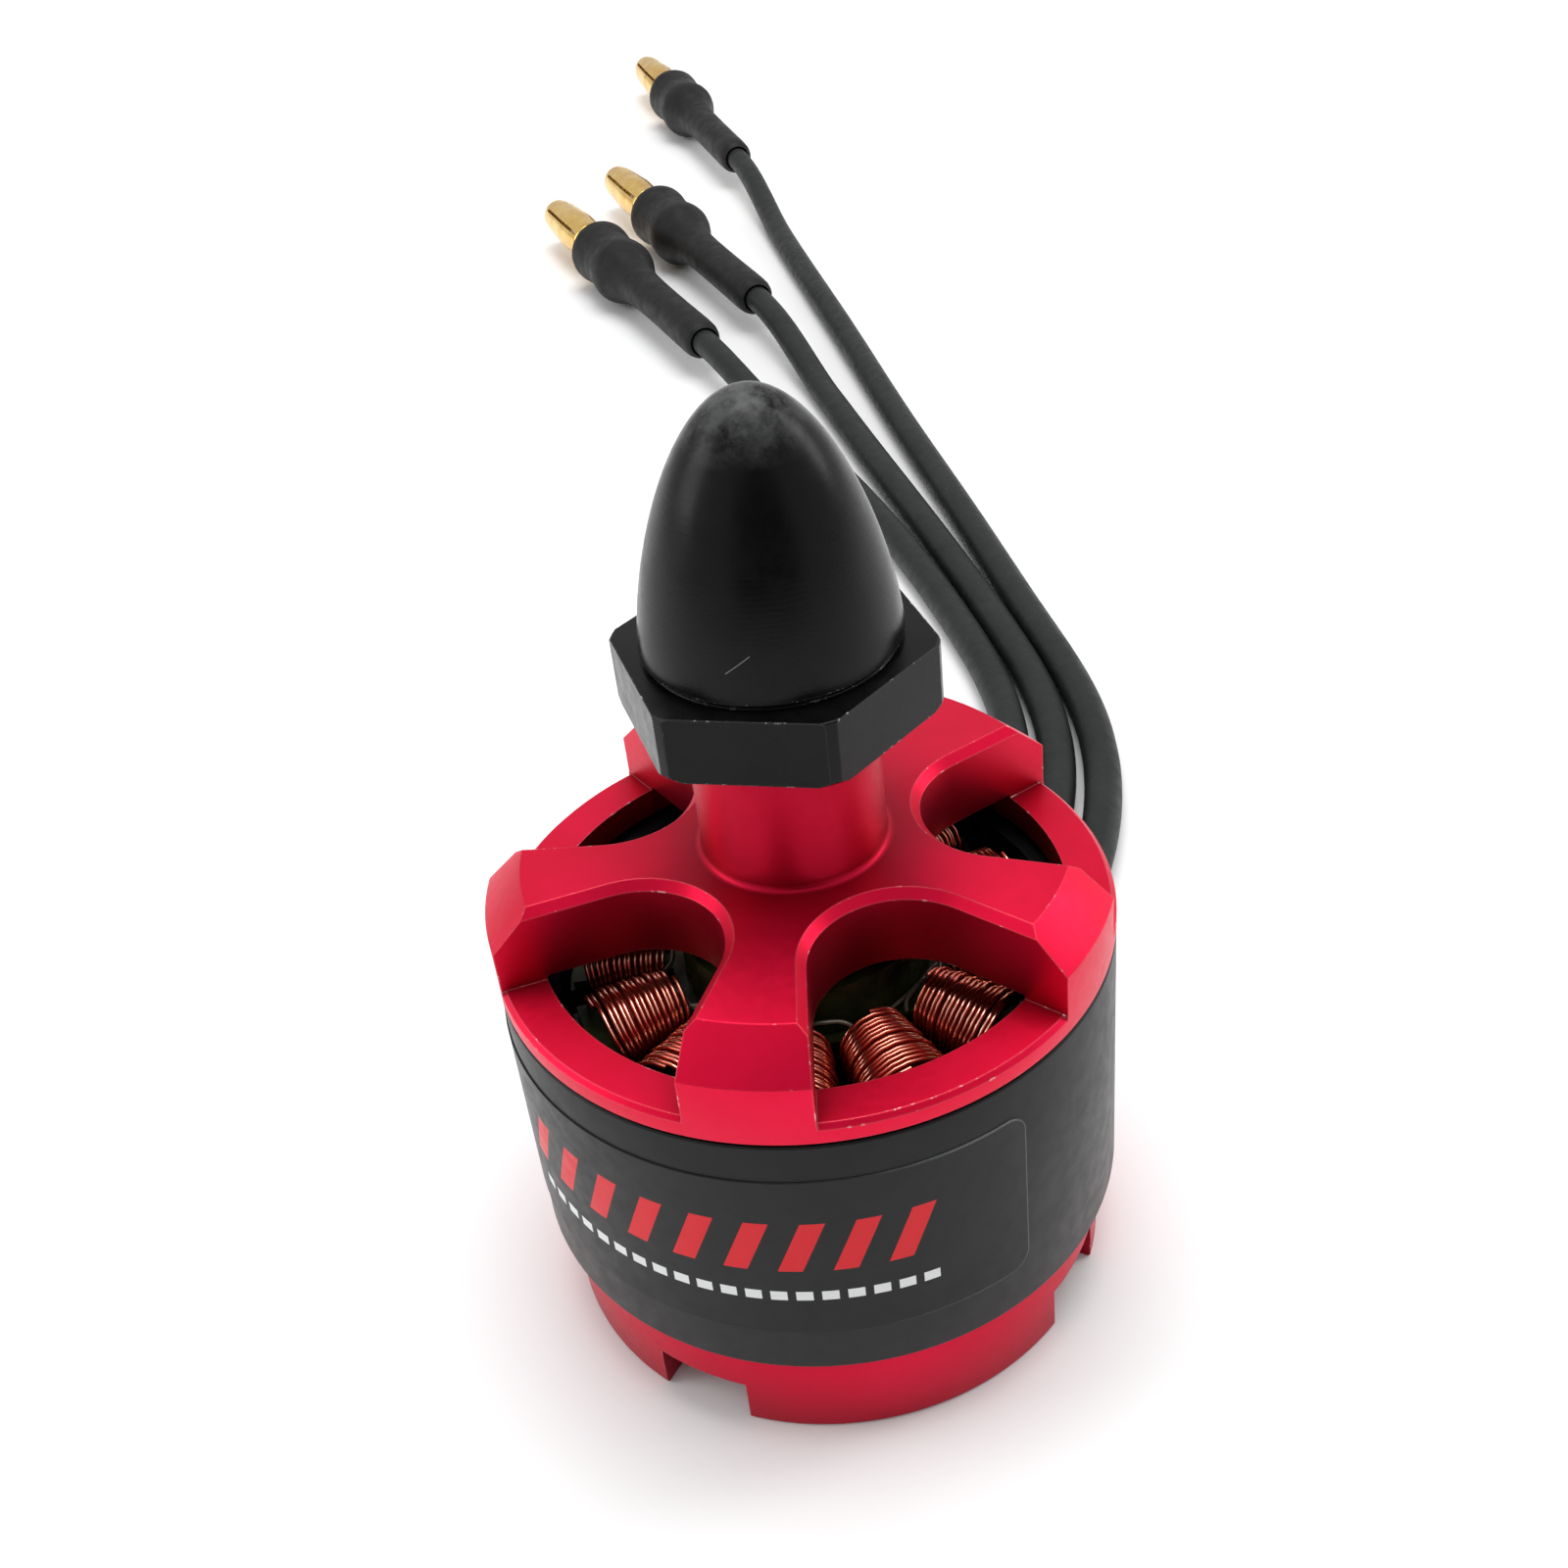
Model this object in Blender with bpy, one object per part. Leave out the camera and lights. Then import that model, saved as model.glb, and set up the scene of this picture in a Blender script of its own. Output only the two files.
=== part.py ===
"""Brushless outrunner motor with a dome propeller nut and three phase leads.

Metres, +Z up. The origin is on the spin axis, on the plane that the base stands on.
"""

import math

import bmesh
import bpy
import numpy as np
from mathutils import Matrix, Vector

MM = 0.001

# Driving dimensions
CAN_RADIUS = 13.9 * MM
RING_LOW, RING_HIGH = 5.38 * MM, 19.2 * MM
RING_BORE = 12.6 * MM
TUBE_RADIUS, TUBE_TOP = 5.0 * MM, 19.9 * MM
BASE_RADIUS = 13.04 * MM
BASE_TOP = 5.0 * MM
FLOOR_TOP = 3.0 * MM
NOTCH_HEIGHT = 2.42 * MM
BELL_LOW = 19.34 * MM
RIM_TOP = 20.31 * MM
BELL_TOP = 24.17 * MM
POST_RADIUS = 4.07 * MM
POST_TOP = 31.0 * MM
NUT_LOW = 31.15 * MM
NUT_TIP = 45.2 * MM
NUT_FLATS = 12.1 * MM
STUB_RADIUS = 2.95 * MM
STUB_TOP = 39.5 * MM
SHAFT_RADIUS = 2.0 * MM
STATOR_RADIUS = 11.0 * MM
STACK_LOW, STACK_HIGH = 4.85 * MM, 16.85 * MM
TEETH = 12
MAGNETS = 14
LEAD_DIAMETER = 2.4 * MM

# Angles, in degrees anticlockwise from +X
SPOKES = 5
FIRST_SPOKE = -103.1
FIRST_TOOTH = 21.0
FIRST_FOOT = -77.7
CABLE_ANGLE = 57.3
NUT_CORNER = -14.34

# Fits
PRESS_GAP = 0.03 * MM
SEAT_GAP = 0.13 * MM
RUNNING_GAP = 0.05 * MM

# Facets round a full turn
SMALL, COARSE, MIDDLE, FINE = 16, 24, 36, 64
BELL_FACETS = 48
SHARP_DEGREES = 35

# Bearings, 4 x 9 x 4 mm
BEARING_RADIUS = 4.5 * MM
BEARING_WIDTH = 4.0 * MM
LOWER_BEARING_Z = 1.35 * MM
UPPER_BEARING_Z = 15.95 * MM
BALLS = 7
BALL_RADIUS = 0.7 * MM
BALL_CIRCLE = 3.25 * MM


def clear_scene():
    for thing in list(bpy.data.objects):
        bpy.data.objects.remove(thing, do_unlink=True)


def material(name, color, roughness, metallic):
    made = bpy.data.materials.new(name)
    made.use_nodes = True
    shader = made.node_tree.nodes["Principled BSDF"]
    shader.inputs["Base Color"].default_value = (*color, 1.0)
    shader.inputs["Roughness"].default_value = roughness
    shader.inputs["Metallic"].default_value = metallic
    made.diffuse_color = (*color, 1.0)
    return made


def polar(radius, degrees, height=0.0):
    angle = math.radians(degrees)
    return Vector((radius * math.cos(angle), radius * math.sin(angle), height))


def turn_to(degrees):
    return Matrix.Rotation(math.radians(degrees), 4, "Z")


def add_object(name, bm, finish, parent=None):
    """Closes the bmesh into a named object, shaded smooth across its shallow edges."""
    bmesh.ops.recalc_face_normals(bm, faces=bm.faces)
    mesh = bpy.data.meshes.new(name)
    bm.to_mesh(mesh)
    bm.free()
    mesh.shade_smooth()
    mesh.set_sharp_from_angle(angle=math.radians(SHARP_DEGREES))
    made = bpy.data.objects.new(name, mesh)
    bpy.context.scene.collection.objects.link(made)
    if finish:
        mesh.materials.append(finish)
    made.parent = parent
    return made


def add_turned(bm, profile, steps, place=Matrix()):
    """A closed outline of (radius, height) points turned once round Z."""
    rings = []
    for radius, height in profile:
        if radius == 0:
            ring = [place @ Vector((0, 0, height))]
        else:
            ring = [place @ polar(radius, 360 * step / steps, height) for step in range(steps)]
        rings.append([bm.verts.new(point) for point in ring])
    for ring, following in zip(rings, rings[1:] + rings[:1]):
        for step in range(steps):
            near, far = step, (step + 1) % steps
            corners = [
                ring[near % len(ring)],
                following[near % len(following)],
                following[far % len(following)],
                ring[far % len(ring)],
            ]
            corners = list(dict.fromkeys(corners))
            if len(corners) > 2:
                bm.faces.new(corners)


def turned(name, profile, steps, finish, parent=None, place=Matrix()):
    bm = bmesh.new()
    add_turned(bm, profile, steps, place)
    return add_object(name, bm, finish, parent)


def ring_profile(inner, outer, low, high):
    return [(inner, low), (outer, low), (outer, high), (inner, high)]


def add_loft(bm, loops):
    """Joins loops that have the same number of points, and caps the first and the last."""
    rows = [[bm.verts.new(point) for point in loop] for loop in loops]
    count = len(rows[0])
    for row, following in zip(rows, rows[1:]):
        for index in range(count):
            after = (index + 1) % count
            bm.faces.new((row[index], row[after], following[after], following[index]))
    bm.faces.new(rows[0])
    bm.faces.new(rows[-1])


def level(outline, height):
    return [Vector((point.x, point.y, height)) for point in outline]


def prism(name, outline, low, high, finish=None, parent=None):
    bm = bmesh.new()
    add_loft(bm, [level(outline, low), level(outline, high)])
    return add_object(name, bm, finish, parent)


def hide_cutter(cutter):
    cutter.hide_render = True
    cutter.display_type = "WIRE"


def combine(target, other, operation):
    hide_cutter(other)
    boolean = target.modifiers.new(f"{operation.lower()}_{other.name}", "BOOLEAN")
    boolean.operation = operation
    boolean.solver = "EXACT"
    boolean.object = other


def cut(target, cutter):
    combine(target, cutter, "DIFFERENCE")


def join(target, other):
    combine(target, other, "UNION")


def radial_box(name, degrees, inner, outer, half_width, low, high):
    """A block that points outwards from the axis at the given angle."""
    turn = turn_to(degrees)
    corners = [(inner, -half_width), (outer, -half_width), (outer, half_width), (inner, half_width)]
    return prism(name, [turn @ Vector((x, y, 0)) for x, y in corners], low, high)


# Base and stator


def make_base(finish, parent):
    """The mounting base with its upright bearing tube, turned in one piece."""
    tube_bore, seat_bore = 3.9 * MM, BEARING_RADIUS + PRESS_GAP
    shoulder_radius, shoulder_top = 5.6 * MM, 4.3 * MM
    wall_bore = 11.7 * MM
    edge = 0.25 * MM
    profile = [
        (seat_bore, 0),
        (BASE_RADIUS - edge, 0),
        (BASE_RADIUS, edge),
        (BASE_RADIUS, BASE_TOP),
        (wall_bore, BASE_TOP),
        (wall_bore, FLOOR_TOP),
        (shoulder_radius, FLOOR_TOP),
        (shoulder_radius, shoulder_top),
        (TUBE_RADIUS, shoulder_top),
        (TUBE_RADIUS, TUBE_TOP),
        (seat_bore, TUBE_TOP),
        (seat_bore, UPPER_BEARING_Z - RUNNING_GAP),
        (tube_bore, UPPER_BEARING_Z - RUNNING_GAP),
        (tube_bore, LOWER_BEARING_Z + BEARING_WIDTH + RUNNING_GAP),
        (seat_bore, LOWER_BEARING_Z + BEARING_WIDTH + RUNNING_GAP),
    ]
    base = turned("mount_base", profile, FINE, finish, parent)
    below, beyond = -1.0 * MM, 15 * MM
    notch_start, notch_half = 6.4 * MM, 2.25 * MM
    for index in range(3):
        angle = CABLE_ANGLE + 90 * (index + 1)
        name = f"foot_notch_{index}"
        cut(base, radial_box(name, angle, notch_start, beyond, notch_half, below, NOTCH_HEIGHT))
    slot_half, slot_start, slot_top = 3.95 * MM, 8.4 * MM, 2.8 * MM
    well_end, well_top = 10.9 * MM, 4 * MM
    cut(base, radial_box("cable_slot", CABLE_ANGLE, slot_start, beyond, slot_half, below, slot_top))
    cut(base, radial_box("cable_well", CABLE_ANGLE, slot_start, well_end, slot_half, below, well_top))
    hole_circles, hole_radius, hole_top = (9.5 * MM, 8.0 * MM), 1.6 * MM, 4 * MM
    for index in range(4):
        spot = Matrix.Translation(polar(hole_circles[index % 2], FIRST_FOOT + 90 * index))
        hole = [(0, below), (hole_radius, below), (hole_radius, hole_top), (0, hole_top)]
        cut(base, turned(f"screw_hole_{index}", hole, SMALL, None, place=spot))
    return base


def tooth_outline(half_neck, yoke, tip_inner, tip_outer, half_tip_degrees):
    """The stator's outline seen from above: a yoke with twelve T-shaped teeth."""
    slant = 0.4 * MM
    outline = []
    for tooth in range(TEETH):
        turn = turn_to(FIRST_TOOTH + 360 * tooth / TEETH)
        side = [
            Vector((math.sqrt(yoke**2 - half_neck**2), half_neck, 0)),
            Vector((tip_inner, half_neck, 0)),
            polar(tip_inner + slant, half_tip_degrees),
            polar(tip_outer, half_tip_degrees),
            polar(tip_outer, half_tip_degrees / 2),
        ]
        mirrored = [Vector((point.x, -point.y, 0)) for point in side]
        outline += [turn @ point for point in mirrored]
        outline += [turn @ polar(tip_outer, 0)]
        outline += [turn @ point for point in reversed(side)]
    return outline


def cut_stator_bore(made, low, high):
    margin = 1 * MM
    bore = TUBE_RADIUS + RUNNING_GAP
    cutter = [(0, low - margin), (bore, low - margin), (bore, high + margin), (0, high + margin)]
    cut(made, turned(made.name + "_bore", cutter, MIDDLE, None))


def make_stator(finishes, parent):
    """The core, with an insulating plate on each end; the top one has a collar round the tube."""
    core_outline = tooth_outline(1.0 * MM, 6.1 * MM, 9.9 * MM, STATOR_RADIUS, 10.8)
    core = prism("stator_core", core_outline, STACK_LOW, STACK_HIGH, finishes["core"], parent)
    cut_stator_bore(core, STACK_LOW, STACK_HIGH)
    plate = tooth_outline(1.05 * MM, 6.2 * MM, 9.8 * MM, STATOR_RADIUS - 0.2 * MM, 10.5)
    finish, thickness = finishes["insulator"], 0.3 * MM
    bottom_low = STACK_LOW - SEAT_GAP - thickness
    bottom = prism("bottom_insulator", plate, bottom_low, bottom_low + thickness, finish, parent)
    cut_stator_bore(bottom, bottom_low, bottom_low + thickness)
    top_low = STACK_HIGH + SEAT_GAP
    top = prism("top_insulator", plate, top_low, top_low + thickness, finish, parent)
    collar_radius, collar_top = 5.65 * MM, TUBE_TOP - RUNNING_GAP
    middle = top_low + thickness / 2
    collar = [(0, middle), (collar_radius, middle), (collar_radius, collar_top), (0, collar_top)]
    join(top, turned("insulator_collar", collar, MIDDLE, None))
    cut_stator_bore(top, top_low, collar_top)


def coil_loop(radius, half_width, low, high, corner, turn):
    """A rounded rectangle round one tooth, standing square to the tooth's length."""
    points = []
    for quarter, (side, middle) in enumerate([(1, high), (-1, high), (-1, low), (1, low)]):
        centre_y = side * (half_width - corner)
        centre_z = middle + (corner if middle == low else -corner)
        for part in range(4):
            angle = math.radians(90 * quarter + 30 * part)
            y = centre_y + corner * math.cos(angle)
            z = centre_z + corner * math.sin(angle)
            points.append(turn @ Vector((radius, y, z)))
    return points


def add_coil(bm, degrees):
    turn = turn_to(degrees)
    inner_radius, outer_radius = 6.5 * MM, 9.6 * MM
    inner_half, outer_half = 1.6 * MM, 2.25 * MM
    hole_half, hole_low, hole_high = 1.15 * MM, 4.3 * MM, 17.4 * MM
    low, high = 3.45 * MM, 18.9 * MM
    corner, hole_corner = 0.75 * MM, 0.1 * MM
    rows = [
        coil_loop(inner_radius, inner_half, low, high, corner, turn),
        coil_loop(outer_radius, outer_half, low, high, corner, turn),
        coil_loop(outer_radius, hole_half, hole_low, hole_high, hole_corner, turn),
        coil_loop(inner_radius, hole_half, hole_low, hole_high, hole_corner, turn),
    ]
    rings = [[bm.verts.new(point) for point in row] for row in rows]
    count = len(rings[0])
    for ring, following in zip(rings, rings[1:] + rings[:1]):
        for index in range(count):
            after = (index + 1) % count
            bm.faces.new((ring[index], ring[after], following[after], following[index]))


def add_block(bm, degrees, inner, outer, half_width, low, high):
    turn = turn_to(degrees)
    corners = [(inner, -half_width), (outer, -half_width), (outer, half_width), (inner, half_width)]
    outline = [turn @ Vector((x, y, 0)) for x, y in corners]
    add_loft(bm, [level(outline, low), level(outline, high)])


def add_arc_bar(bm, first, last, inner, outer, low, high):
    """A flat bar that follows a circle from one angle to another."""
    steps = round((last - first) / 10)
    angles = [first + (last - first) * step / steps for step in range(steps + 1)]
    outline = [polar(outer, angle) for angle in angles]
    outline += [polar(inner, angle) for angle in reversed(angles)]
    add_loft(bm, [level(outline, low), level(outline, high)])


def make_windings(finish, parent):
    """Each phase is one wire: four coils, and a crossover below the yoke that joins them."""
    inner, outer, thickness = 5.75 * MM, 6.15 * MM, 0.2 * MM
    lowest, level_step, overhang = 3.5 * MM, 0.29 * MM, 3
    tail_start, tail_end, tail_half = inner + 0.1 * MM, 7.0 * MM, 0.25 * MM
    for phase, letter in enumerate("uvw"):
        low = lowest + level_step * phase
        high = low + thickness
        first = FIRST_TOOTH + 60 * phase
        teeth = [first, first + 30, first + 180, first + 210]
        bm = bmesh.new()
        add_arc_bar(bm, teeth[0] - overhang, teeth[-1] + overhang, inner, outer, low, high)
        winding = add_object(f"phase_{letter}_winding", bm, finish, parent)
        for index, tooth in enumerate(teeth):
            coil = bmesh.new()
            add_coil(coil, tooth)
            join(winding, add_object(f"coil_{letter}_{index}", coil, None))
            tail = bmesh.new()
            add_block(tail, tooth, tail_start, tail_end, tail_half, low, high)
            join(winding, add_object(f"coil_tail_{letter}_{index}", tail, None))


# Bearings


def make_races(prefix, low, finishes, stator, rotor):
    groove_outer = BALL_CIRCLE + BALL_RADIUS + RUNNING_GAP
    groove_inner = BALL_CIRCLE - BALL_RADIUS - RUNNING_GAP
    land_outer, land_inner = 3.72 * MM, 2.78 * MM
    bore = SHAFT_RADIUS + PRESS_GAP
    middle, high = low + BEARING_WIDTH / 2, low + BEARING_WIDTH
    lip, bed = 0.6 * MM, 0.3 * MM

    def groove(land, bottom):
        heights = [middle - lip, middle - bed, middle + bed, middle + lip]
        return list(zip([land, bottom, bottom, land], heights))

    outer = [(BEARING_RADIUS, high), (BEARING_RADIUS, low), (land_outer, low)]
    outer += groove(land_outer, groove_outer) + [(land_outer, high)]
    turned(prefix + "_bearing_outer_race", outer, COARSE, finishes["steel"], stator)
    inner = [(bore, high), (bore, low), (land_inner, low)]
    inner += groove(land_inner, groove_inner) + [(land_inner, high)]
    turned(prefix + "_bearing_inner_race", inner, COARSE, finishes["steel"], rotor)


def make_shields(prefix, low, finish, parent):
    inset, thickness = 0.15 * MM, 0.2 * MM
    inner, outer = 2.85 * MM, 3.66 * MM
    bottoms = {"lower": low + inset, "upper": low + BEARING_WIDTH - inset - thickness}
    for place, bottom in bottoms.items():
        profile = ring_profile(inner, outer, bottom, bottom + thickness)
        turned(f"{prefix}_bearing_{place}_shield", profile, COARSE, finish, parent)


def make_ball_set(prefix, low, finishes, parent):
    """The balls in their cage: a ring over the balls, with a finger down between each pair."""
    middle = low + BEARING_WIDTH / 2
    steps = 4 * BALLS
    half_step = Matrix.Rotation(math.pi / steps, 4, "Z")
    inner, outer, ring_low, ring_height = 2.98 * MM, 3.5 * MM, middle + 0.45 * MM, 0.4 * MM
    finger_length, touch = 0.9 * MM, 1e-6
    bm = bmesh.new()
    profile = ring_profile(inner, outer, ring_low, ring_low + ring_height)
    add_turned(bm, profile, steps, half_step)
    fingers = []
    for face in bm.faces:
        centre = face.calc_center_median()
        step = round(math.degrees(math.atan2(centre.y, centre.x)) * steps / 360)
        if step % 4 == 2 and abs(centre.z - ring_low) < touch:
            fingers.append(face)
    extruded = bmesh.ops.extrude_discrete_faces(bm, faces=fingers)
    corners = {corner for face in extruded["faces"] for corner in face.verts}
    bmesh.ops.translate(bm, verts=list(corners), vec=Vector((0, 0, -finger_length)))
    cage = add_object(prefix + "_bearing_ball_set", bm, finishes["steel"], parent)
    balls = bmesh.new()
    for ball in range(BALLS):
        place = Matrix.Translation(polar(BALL_CIRCLE, 360 * ball / BALLS, middle))
        bmesh.ops.create_icosphere(balls, subdivisions=2, radius=BALL_RADIUS, matrix=place)
    join(cage, add_object(prefix + "_balls", balls, None))


# Rotor


def window_outline(offset, steps=14):
    """One bell window from above: a round inner end and two straight sides that open outwards."""
    centre, radius, slope = 9.5 * MM, 3.85 * MM + offset, math.radians(26)
    reach = 7.5 * MM
    arc = []
    for step in range(steps + 1):
        angle = math.pi / 2 + slope + (math.pi - 2 * slope) * step / steps
        arc.append(Vector((centre + radius * math.cos(angle), radius * math.sin(angle), 0)))
    run = Vector((math.cos(slope), math.sin(slope), 0)) * reach
    return [arc[0] + run] + arc + [arc[-1] + Vector((run.x, -run.y, 0))]


def make_bell(finish, parent):
    """The top of the can: rim, five spokes, post and threaded stub, turned then milled."""
    spigot_bore, spigot_radius, spigot_low = 11.84 * MM, 12.5 * MM, 18.9 * MM
    web_low = 20.5 * MM
    cone_radius, cone_low = 12.06 * MM, 22.38 * MM
    bore, bore_top = SHAFT_RADIUS + PRESS_GAP, 29.5 * MM
    fillet, stub_chamfer = 0.3 * MM, 0.35 * MM
    neck, neck_top, thread_low = STUB_RADIUS - 0.4 * MM, POST_TOP + 0.7 * MM, POST_TOP + 1.1 * MM
    profile = [
        (0, bore_top),
        (bore, bore_top),
        (bore, web_low),
        (spigot_bore, web_low),
        (spigot_bore, spigot_low),
        (spigot_radius, spigot_low),
        (spigot_radius, BELL_LOW),
        (CAN_RADIUS, BELL_LOW),
        (CAN_RADIUS, cone_low),
        (cone_radius, BELL_TOP),
        (POST_RADIUS + fillet, BELL_TOP),
        (POST_RADIUS, BELL_TOP + fillet),
        (POST_RADIUS, POST_TOP),
        (neck, POST_TOP),
        (neck, neck_top),
        (STUB_RADIUS, thread_low),
        (STUB_RADIUS, STUB_TOP - stub_chamfer),
        (STUB_RADIUS - stub_chamfer, STUB_TOP),
        (0, STUB_TOP),
    ]
    bell = turned("bell", profile, BELL_FACETS, finish, parent)
    chamfer, above = 0.4 * MM, 0.83 * MM
    for window in range(SPOKES):
        turn = turn_to(FIRST_SPOKE + 36 + 72 * window)
        wall = [turn @ point for point in window_outline(0)]
        flared = [turn @ point for point in window_outline(chamfer + above)]
        bm = bmesh.new()
        levels = [level(wall, RIM_TOP), level(wall, BELL_TOP - chamfer), level(flared, BELL_TOP + above)]
        add_loft(bm, levels)
        cut(bell, add_object(f"window_{window}", bm, None))
    return bell


def make_magnets(finish, parent):
    """Curved magnets glued inside the flux ring, poles alternating, with gaps between them."""
    inner, outer = 11.3 * MM, RING_BORE - 0.1 * MM
    low, high = 5.7 * MM, 18.4 * MM
    half_width, parts = 11.0, 3
    for magnet in range(MAGNETS):
        middle = 360 * magnet / MAGNETS
        angles = [middle - half_width + 2 * half_width * part / parts for part in range(parts + 1)]
        outline = [polar(outer, angle) for angle in angles]
        outline += [polar(inner, angle) for angle in reversed(angles)]
        prism(f"magnet_{magnet + 1:02d}", outline, low, high, finish, parent)


def make_shaft(finish, parent):
    low, high, low_chamfer, chamfer = 0.3 * MM, 29.2 * MM, 0.1 * MM, 0.25 * MM
    groove_low, groove_high, groove_radius = 0.6 * MM, 0.98 * MM, 1.6 * MM
    profile = [
        (0, low),
        (SHAFT_RADIUS - low_chamfer, low),
        (SHAFT_RADIUS, low + low_chamfer),
        (SHAFT_RADIUS, groove_low),
        (groove_radius, groove_low),
        (groove_radius, groove_high),
        (SHAFT_RADIUS, groove_high),
        (SHAFT_RADIUS, high - chamfer),
        (SHAFT_RADIUS - chamfer, high),
        (0, high),
    ]
    turned("shaft", profile, COARSE, finish, parent)


def make_circlip(finish, parent):
    """A snap ring in the groove at the shaft's lower end, open on one side."""
    inner, outer, low, high = 1.68 * MM, 2.7 * MM, 0.66 * MM, 0.92 * MM
    half_gap, steps = 30, 15
    angles = [half_gap + (360 - 2 * half_gap) * step / steps for step in range(steps + 1)]
    outline = [polar(outer, angle) for angle in angles]
    outline += [polar(inner, angle) for angle in reversed(angles)]
    prism("shaft_circlip", outline, low, high, finish, parent)


def make_washers(finish, parent):
    """Thin washers that bear on the inner races only."""
    inner, outer, thin, thick = 2.1 * MM, 2.74 * MM, 0.25 * MM, 0.4 * MM
    lower_top = LOWER_BEARING_Z - RUNNING_GAP
    upper_low = UPPER_BEARING_Z + BEARING_WIDTH + 0.1 * MM
    lower = ring_profile(inner, outer, lower_top - thin, lower_top)
    upper = ring_profile(inner, outer, upper_low, upper_low + thick)
    turned("lower_thrust_washer", lower, COARSE, finish, parent)
    turned("upper_spacer_washer", upper, COARSE, finish, parent)


def make_label(finish, parent):
    """A thin printed skin on the flux ring, with its own facets over the ring's facets."""
    first, count, step = -54.4, 38, 360 / FINE
    inner, thickness = CAN_RADIUS + 0.03 * MM, 0.05 * MM
    low, high = 7.9 * MM, 17.25 * MM
    angles = [first - step * index for index in range(count + 1)]
    outline = [polar(inner + thickness, angle) for angle in angles]
    outline += [polar(inner, angle) for angle in reversed(angles)]
    prism("wrap_label", outline, low, high, finish, parent)


def dome_radius(height):
    """The nut's bullet-shaped dome: almost upright at its base, round at its tip."""
    base, width = 34.47 * MM, 5.427 * MM
    share = max(0.0, (height - base) / (NUT_TIP - base))
    return width * max(0.0, 1 - share**1.48) ** (1 / 1.941)


def make_nut(finish, parent):
    bore, bore_top, mouth = STUB_RADIUS + RUNNING_GAP, 40.3 * MM, 0.4 * MM
    corner_radius, hex_top = 6.85 * MM, 34.17 * MM
    groove_radius, groove_top, dome_low = 5.2 * MM, 34.38 * MM, 34.5 * MM
    chamfer, edge, tip_drop = 0.2 * MM, 0.1 * MM, 1.2 * MM
    profile = [
        (0, bore_top + tip_drop),
        (bore, bore_top),
        (bore, NUT_LOW + mouth),
        (bore + mouth, NUT_LOW),
        (corner_radius - chamfer, NUT_LOW),
        (corner_radius, NUT_LOW + chamfer),
        (corner_radius, hex_top - edge),
        (corner_radius - edge, hex_top),
        (groove_radius, hex_top),
        (groove_radius, groove_top),
    ]
    levels = 9
    for index in range(levels):
        share = math.sin(math.pi / 2 * index / levels)
        height = dome_low + (NUT_TIP - dome_low) * share
        profile.append((dome_radius(height), height))
    profile.append((0, NUT_TIP))
    nut = turned("prop_nut", profile, MIDDLE, finish, parent)
    low, high = NUT_LOW - 1 * MM, hex_top + 0.1 * MM
    beyond, half_width = 9 * MM, 5 * MM
    for side in range(6):
        angle = NUT_CORNER + 30 + 60 * side
        name = f"nut_flat_{side}"
        cut(nut, radial_box(name, angle, NUT_FLATS / 2, beyond, half_width, low, high))


# Leads

# Points on the table that each lead passes, from the base outwards.
LEAD_ROUTES = {
    "u": {
        "side": -2.55 * MM,
        "table": [(14.4, 17.0), (18.8, 26.5), (20.6, 38.0), (19.0, 52.0), (16.6, 67.5), (13.4, 87.0),
                  (10.0, 110.0), (6.4, 133.0)],
        "mouth": (2.4, 156.4),
        "tip": (-8.2, 199.1),
    },
    "v": {
        "side": 0.0,
        "table": [(11.9, 18.4), (16.0, 27.6), (17.9, 38.0), (16.4, 52.0), (13.0, 68.7), (9.2, 86.0)],
        "mouth": (2.4, 113.3),
        "tip": (-12.0, 154.8),
    },
    "w": {
        "side": 2.55 * MM,
        "table": [(9.4, 19.8), (13.2, 28.7), (15.1, 38.5), (13.8, 52.0), (10.0, 68.5), (4.6, 85.0)],
        "mouth": (-3.1, 104.1),
        "tip": (-18.6, 145.5),
    },
}
LEAD_HEIGHT = LEAD_DIAMETER / 2 + 0.05 * MM
SLEEVE_RADIUS = 3.4 * MM
CONNECTOR_HEIGHT = SLEEVE_RADIUS + 0.05 * MM
PIN_LENGTH, CUP_LENGTH = 14.3 * MM, 8.2 * MM


def clamped_spline(points, first_direction, last_direction):
    """Cubic pieces through the points, smooth to the curvature, leaving along set directions."""
    points = np.array(points)
    steps = np.linalg.norm(np.diff(points, axis=0), axis=1)
    count = len(points)
    samples = 40
    matrix = np.zeros((count, count))
    right = np.zeros((count, 3))
    matrix[0, 0] = matrix[-1, -1] = 1
    right[0], right[-1] = first_direction, last_direction
    for index in range(1, count - 1):
        before, after = steps[index - 1], steps[index]
        matrix[index, index - 1 : index + 2] = after, 2 * (before + after), before
        rise_before = (points[index] - points[index - 1]) / before
        rise_after = (points[index + 1] - points[index]) / after
        right[index] = 3 * (after * rise_before + before * rise_after)
    slopes = np.linalg.solve(matrix, right)
    dense = []
    for index, step in enumerate(steps):
        share = np.linspace(0, 1, samples, endpoint=False)[:, None]
        near = 2 * share**3 - 3 * share**2 + 1
        leave = share**3 - 2 * share**2 + share
        arrive = share**3 - share**2
        dense.append(
            near * points[index]
            + (1 - near) * points[index + 1]
            + step * (leave * slopes[index] + arrive * slopes[index + 1])
        )
    return np.vstack(dense + [points[-1:]])


def even_points(curve, spacing):
    """Points along a dense curve, at equal distances."""
    runs = np.concatenate([[0], np.cumsum(np.linalg.norm(np.diff(curve, axis=0), axis=1))])
    stations = np.linspace(0, runs[-1], round(runs[-1] / spacing) + 1)
    return np.stack([np.interp(stations, runs, curve[:, axis]) for axis in range(3)], axis=1)


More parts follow.
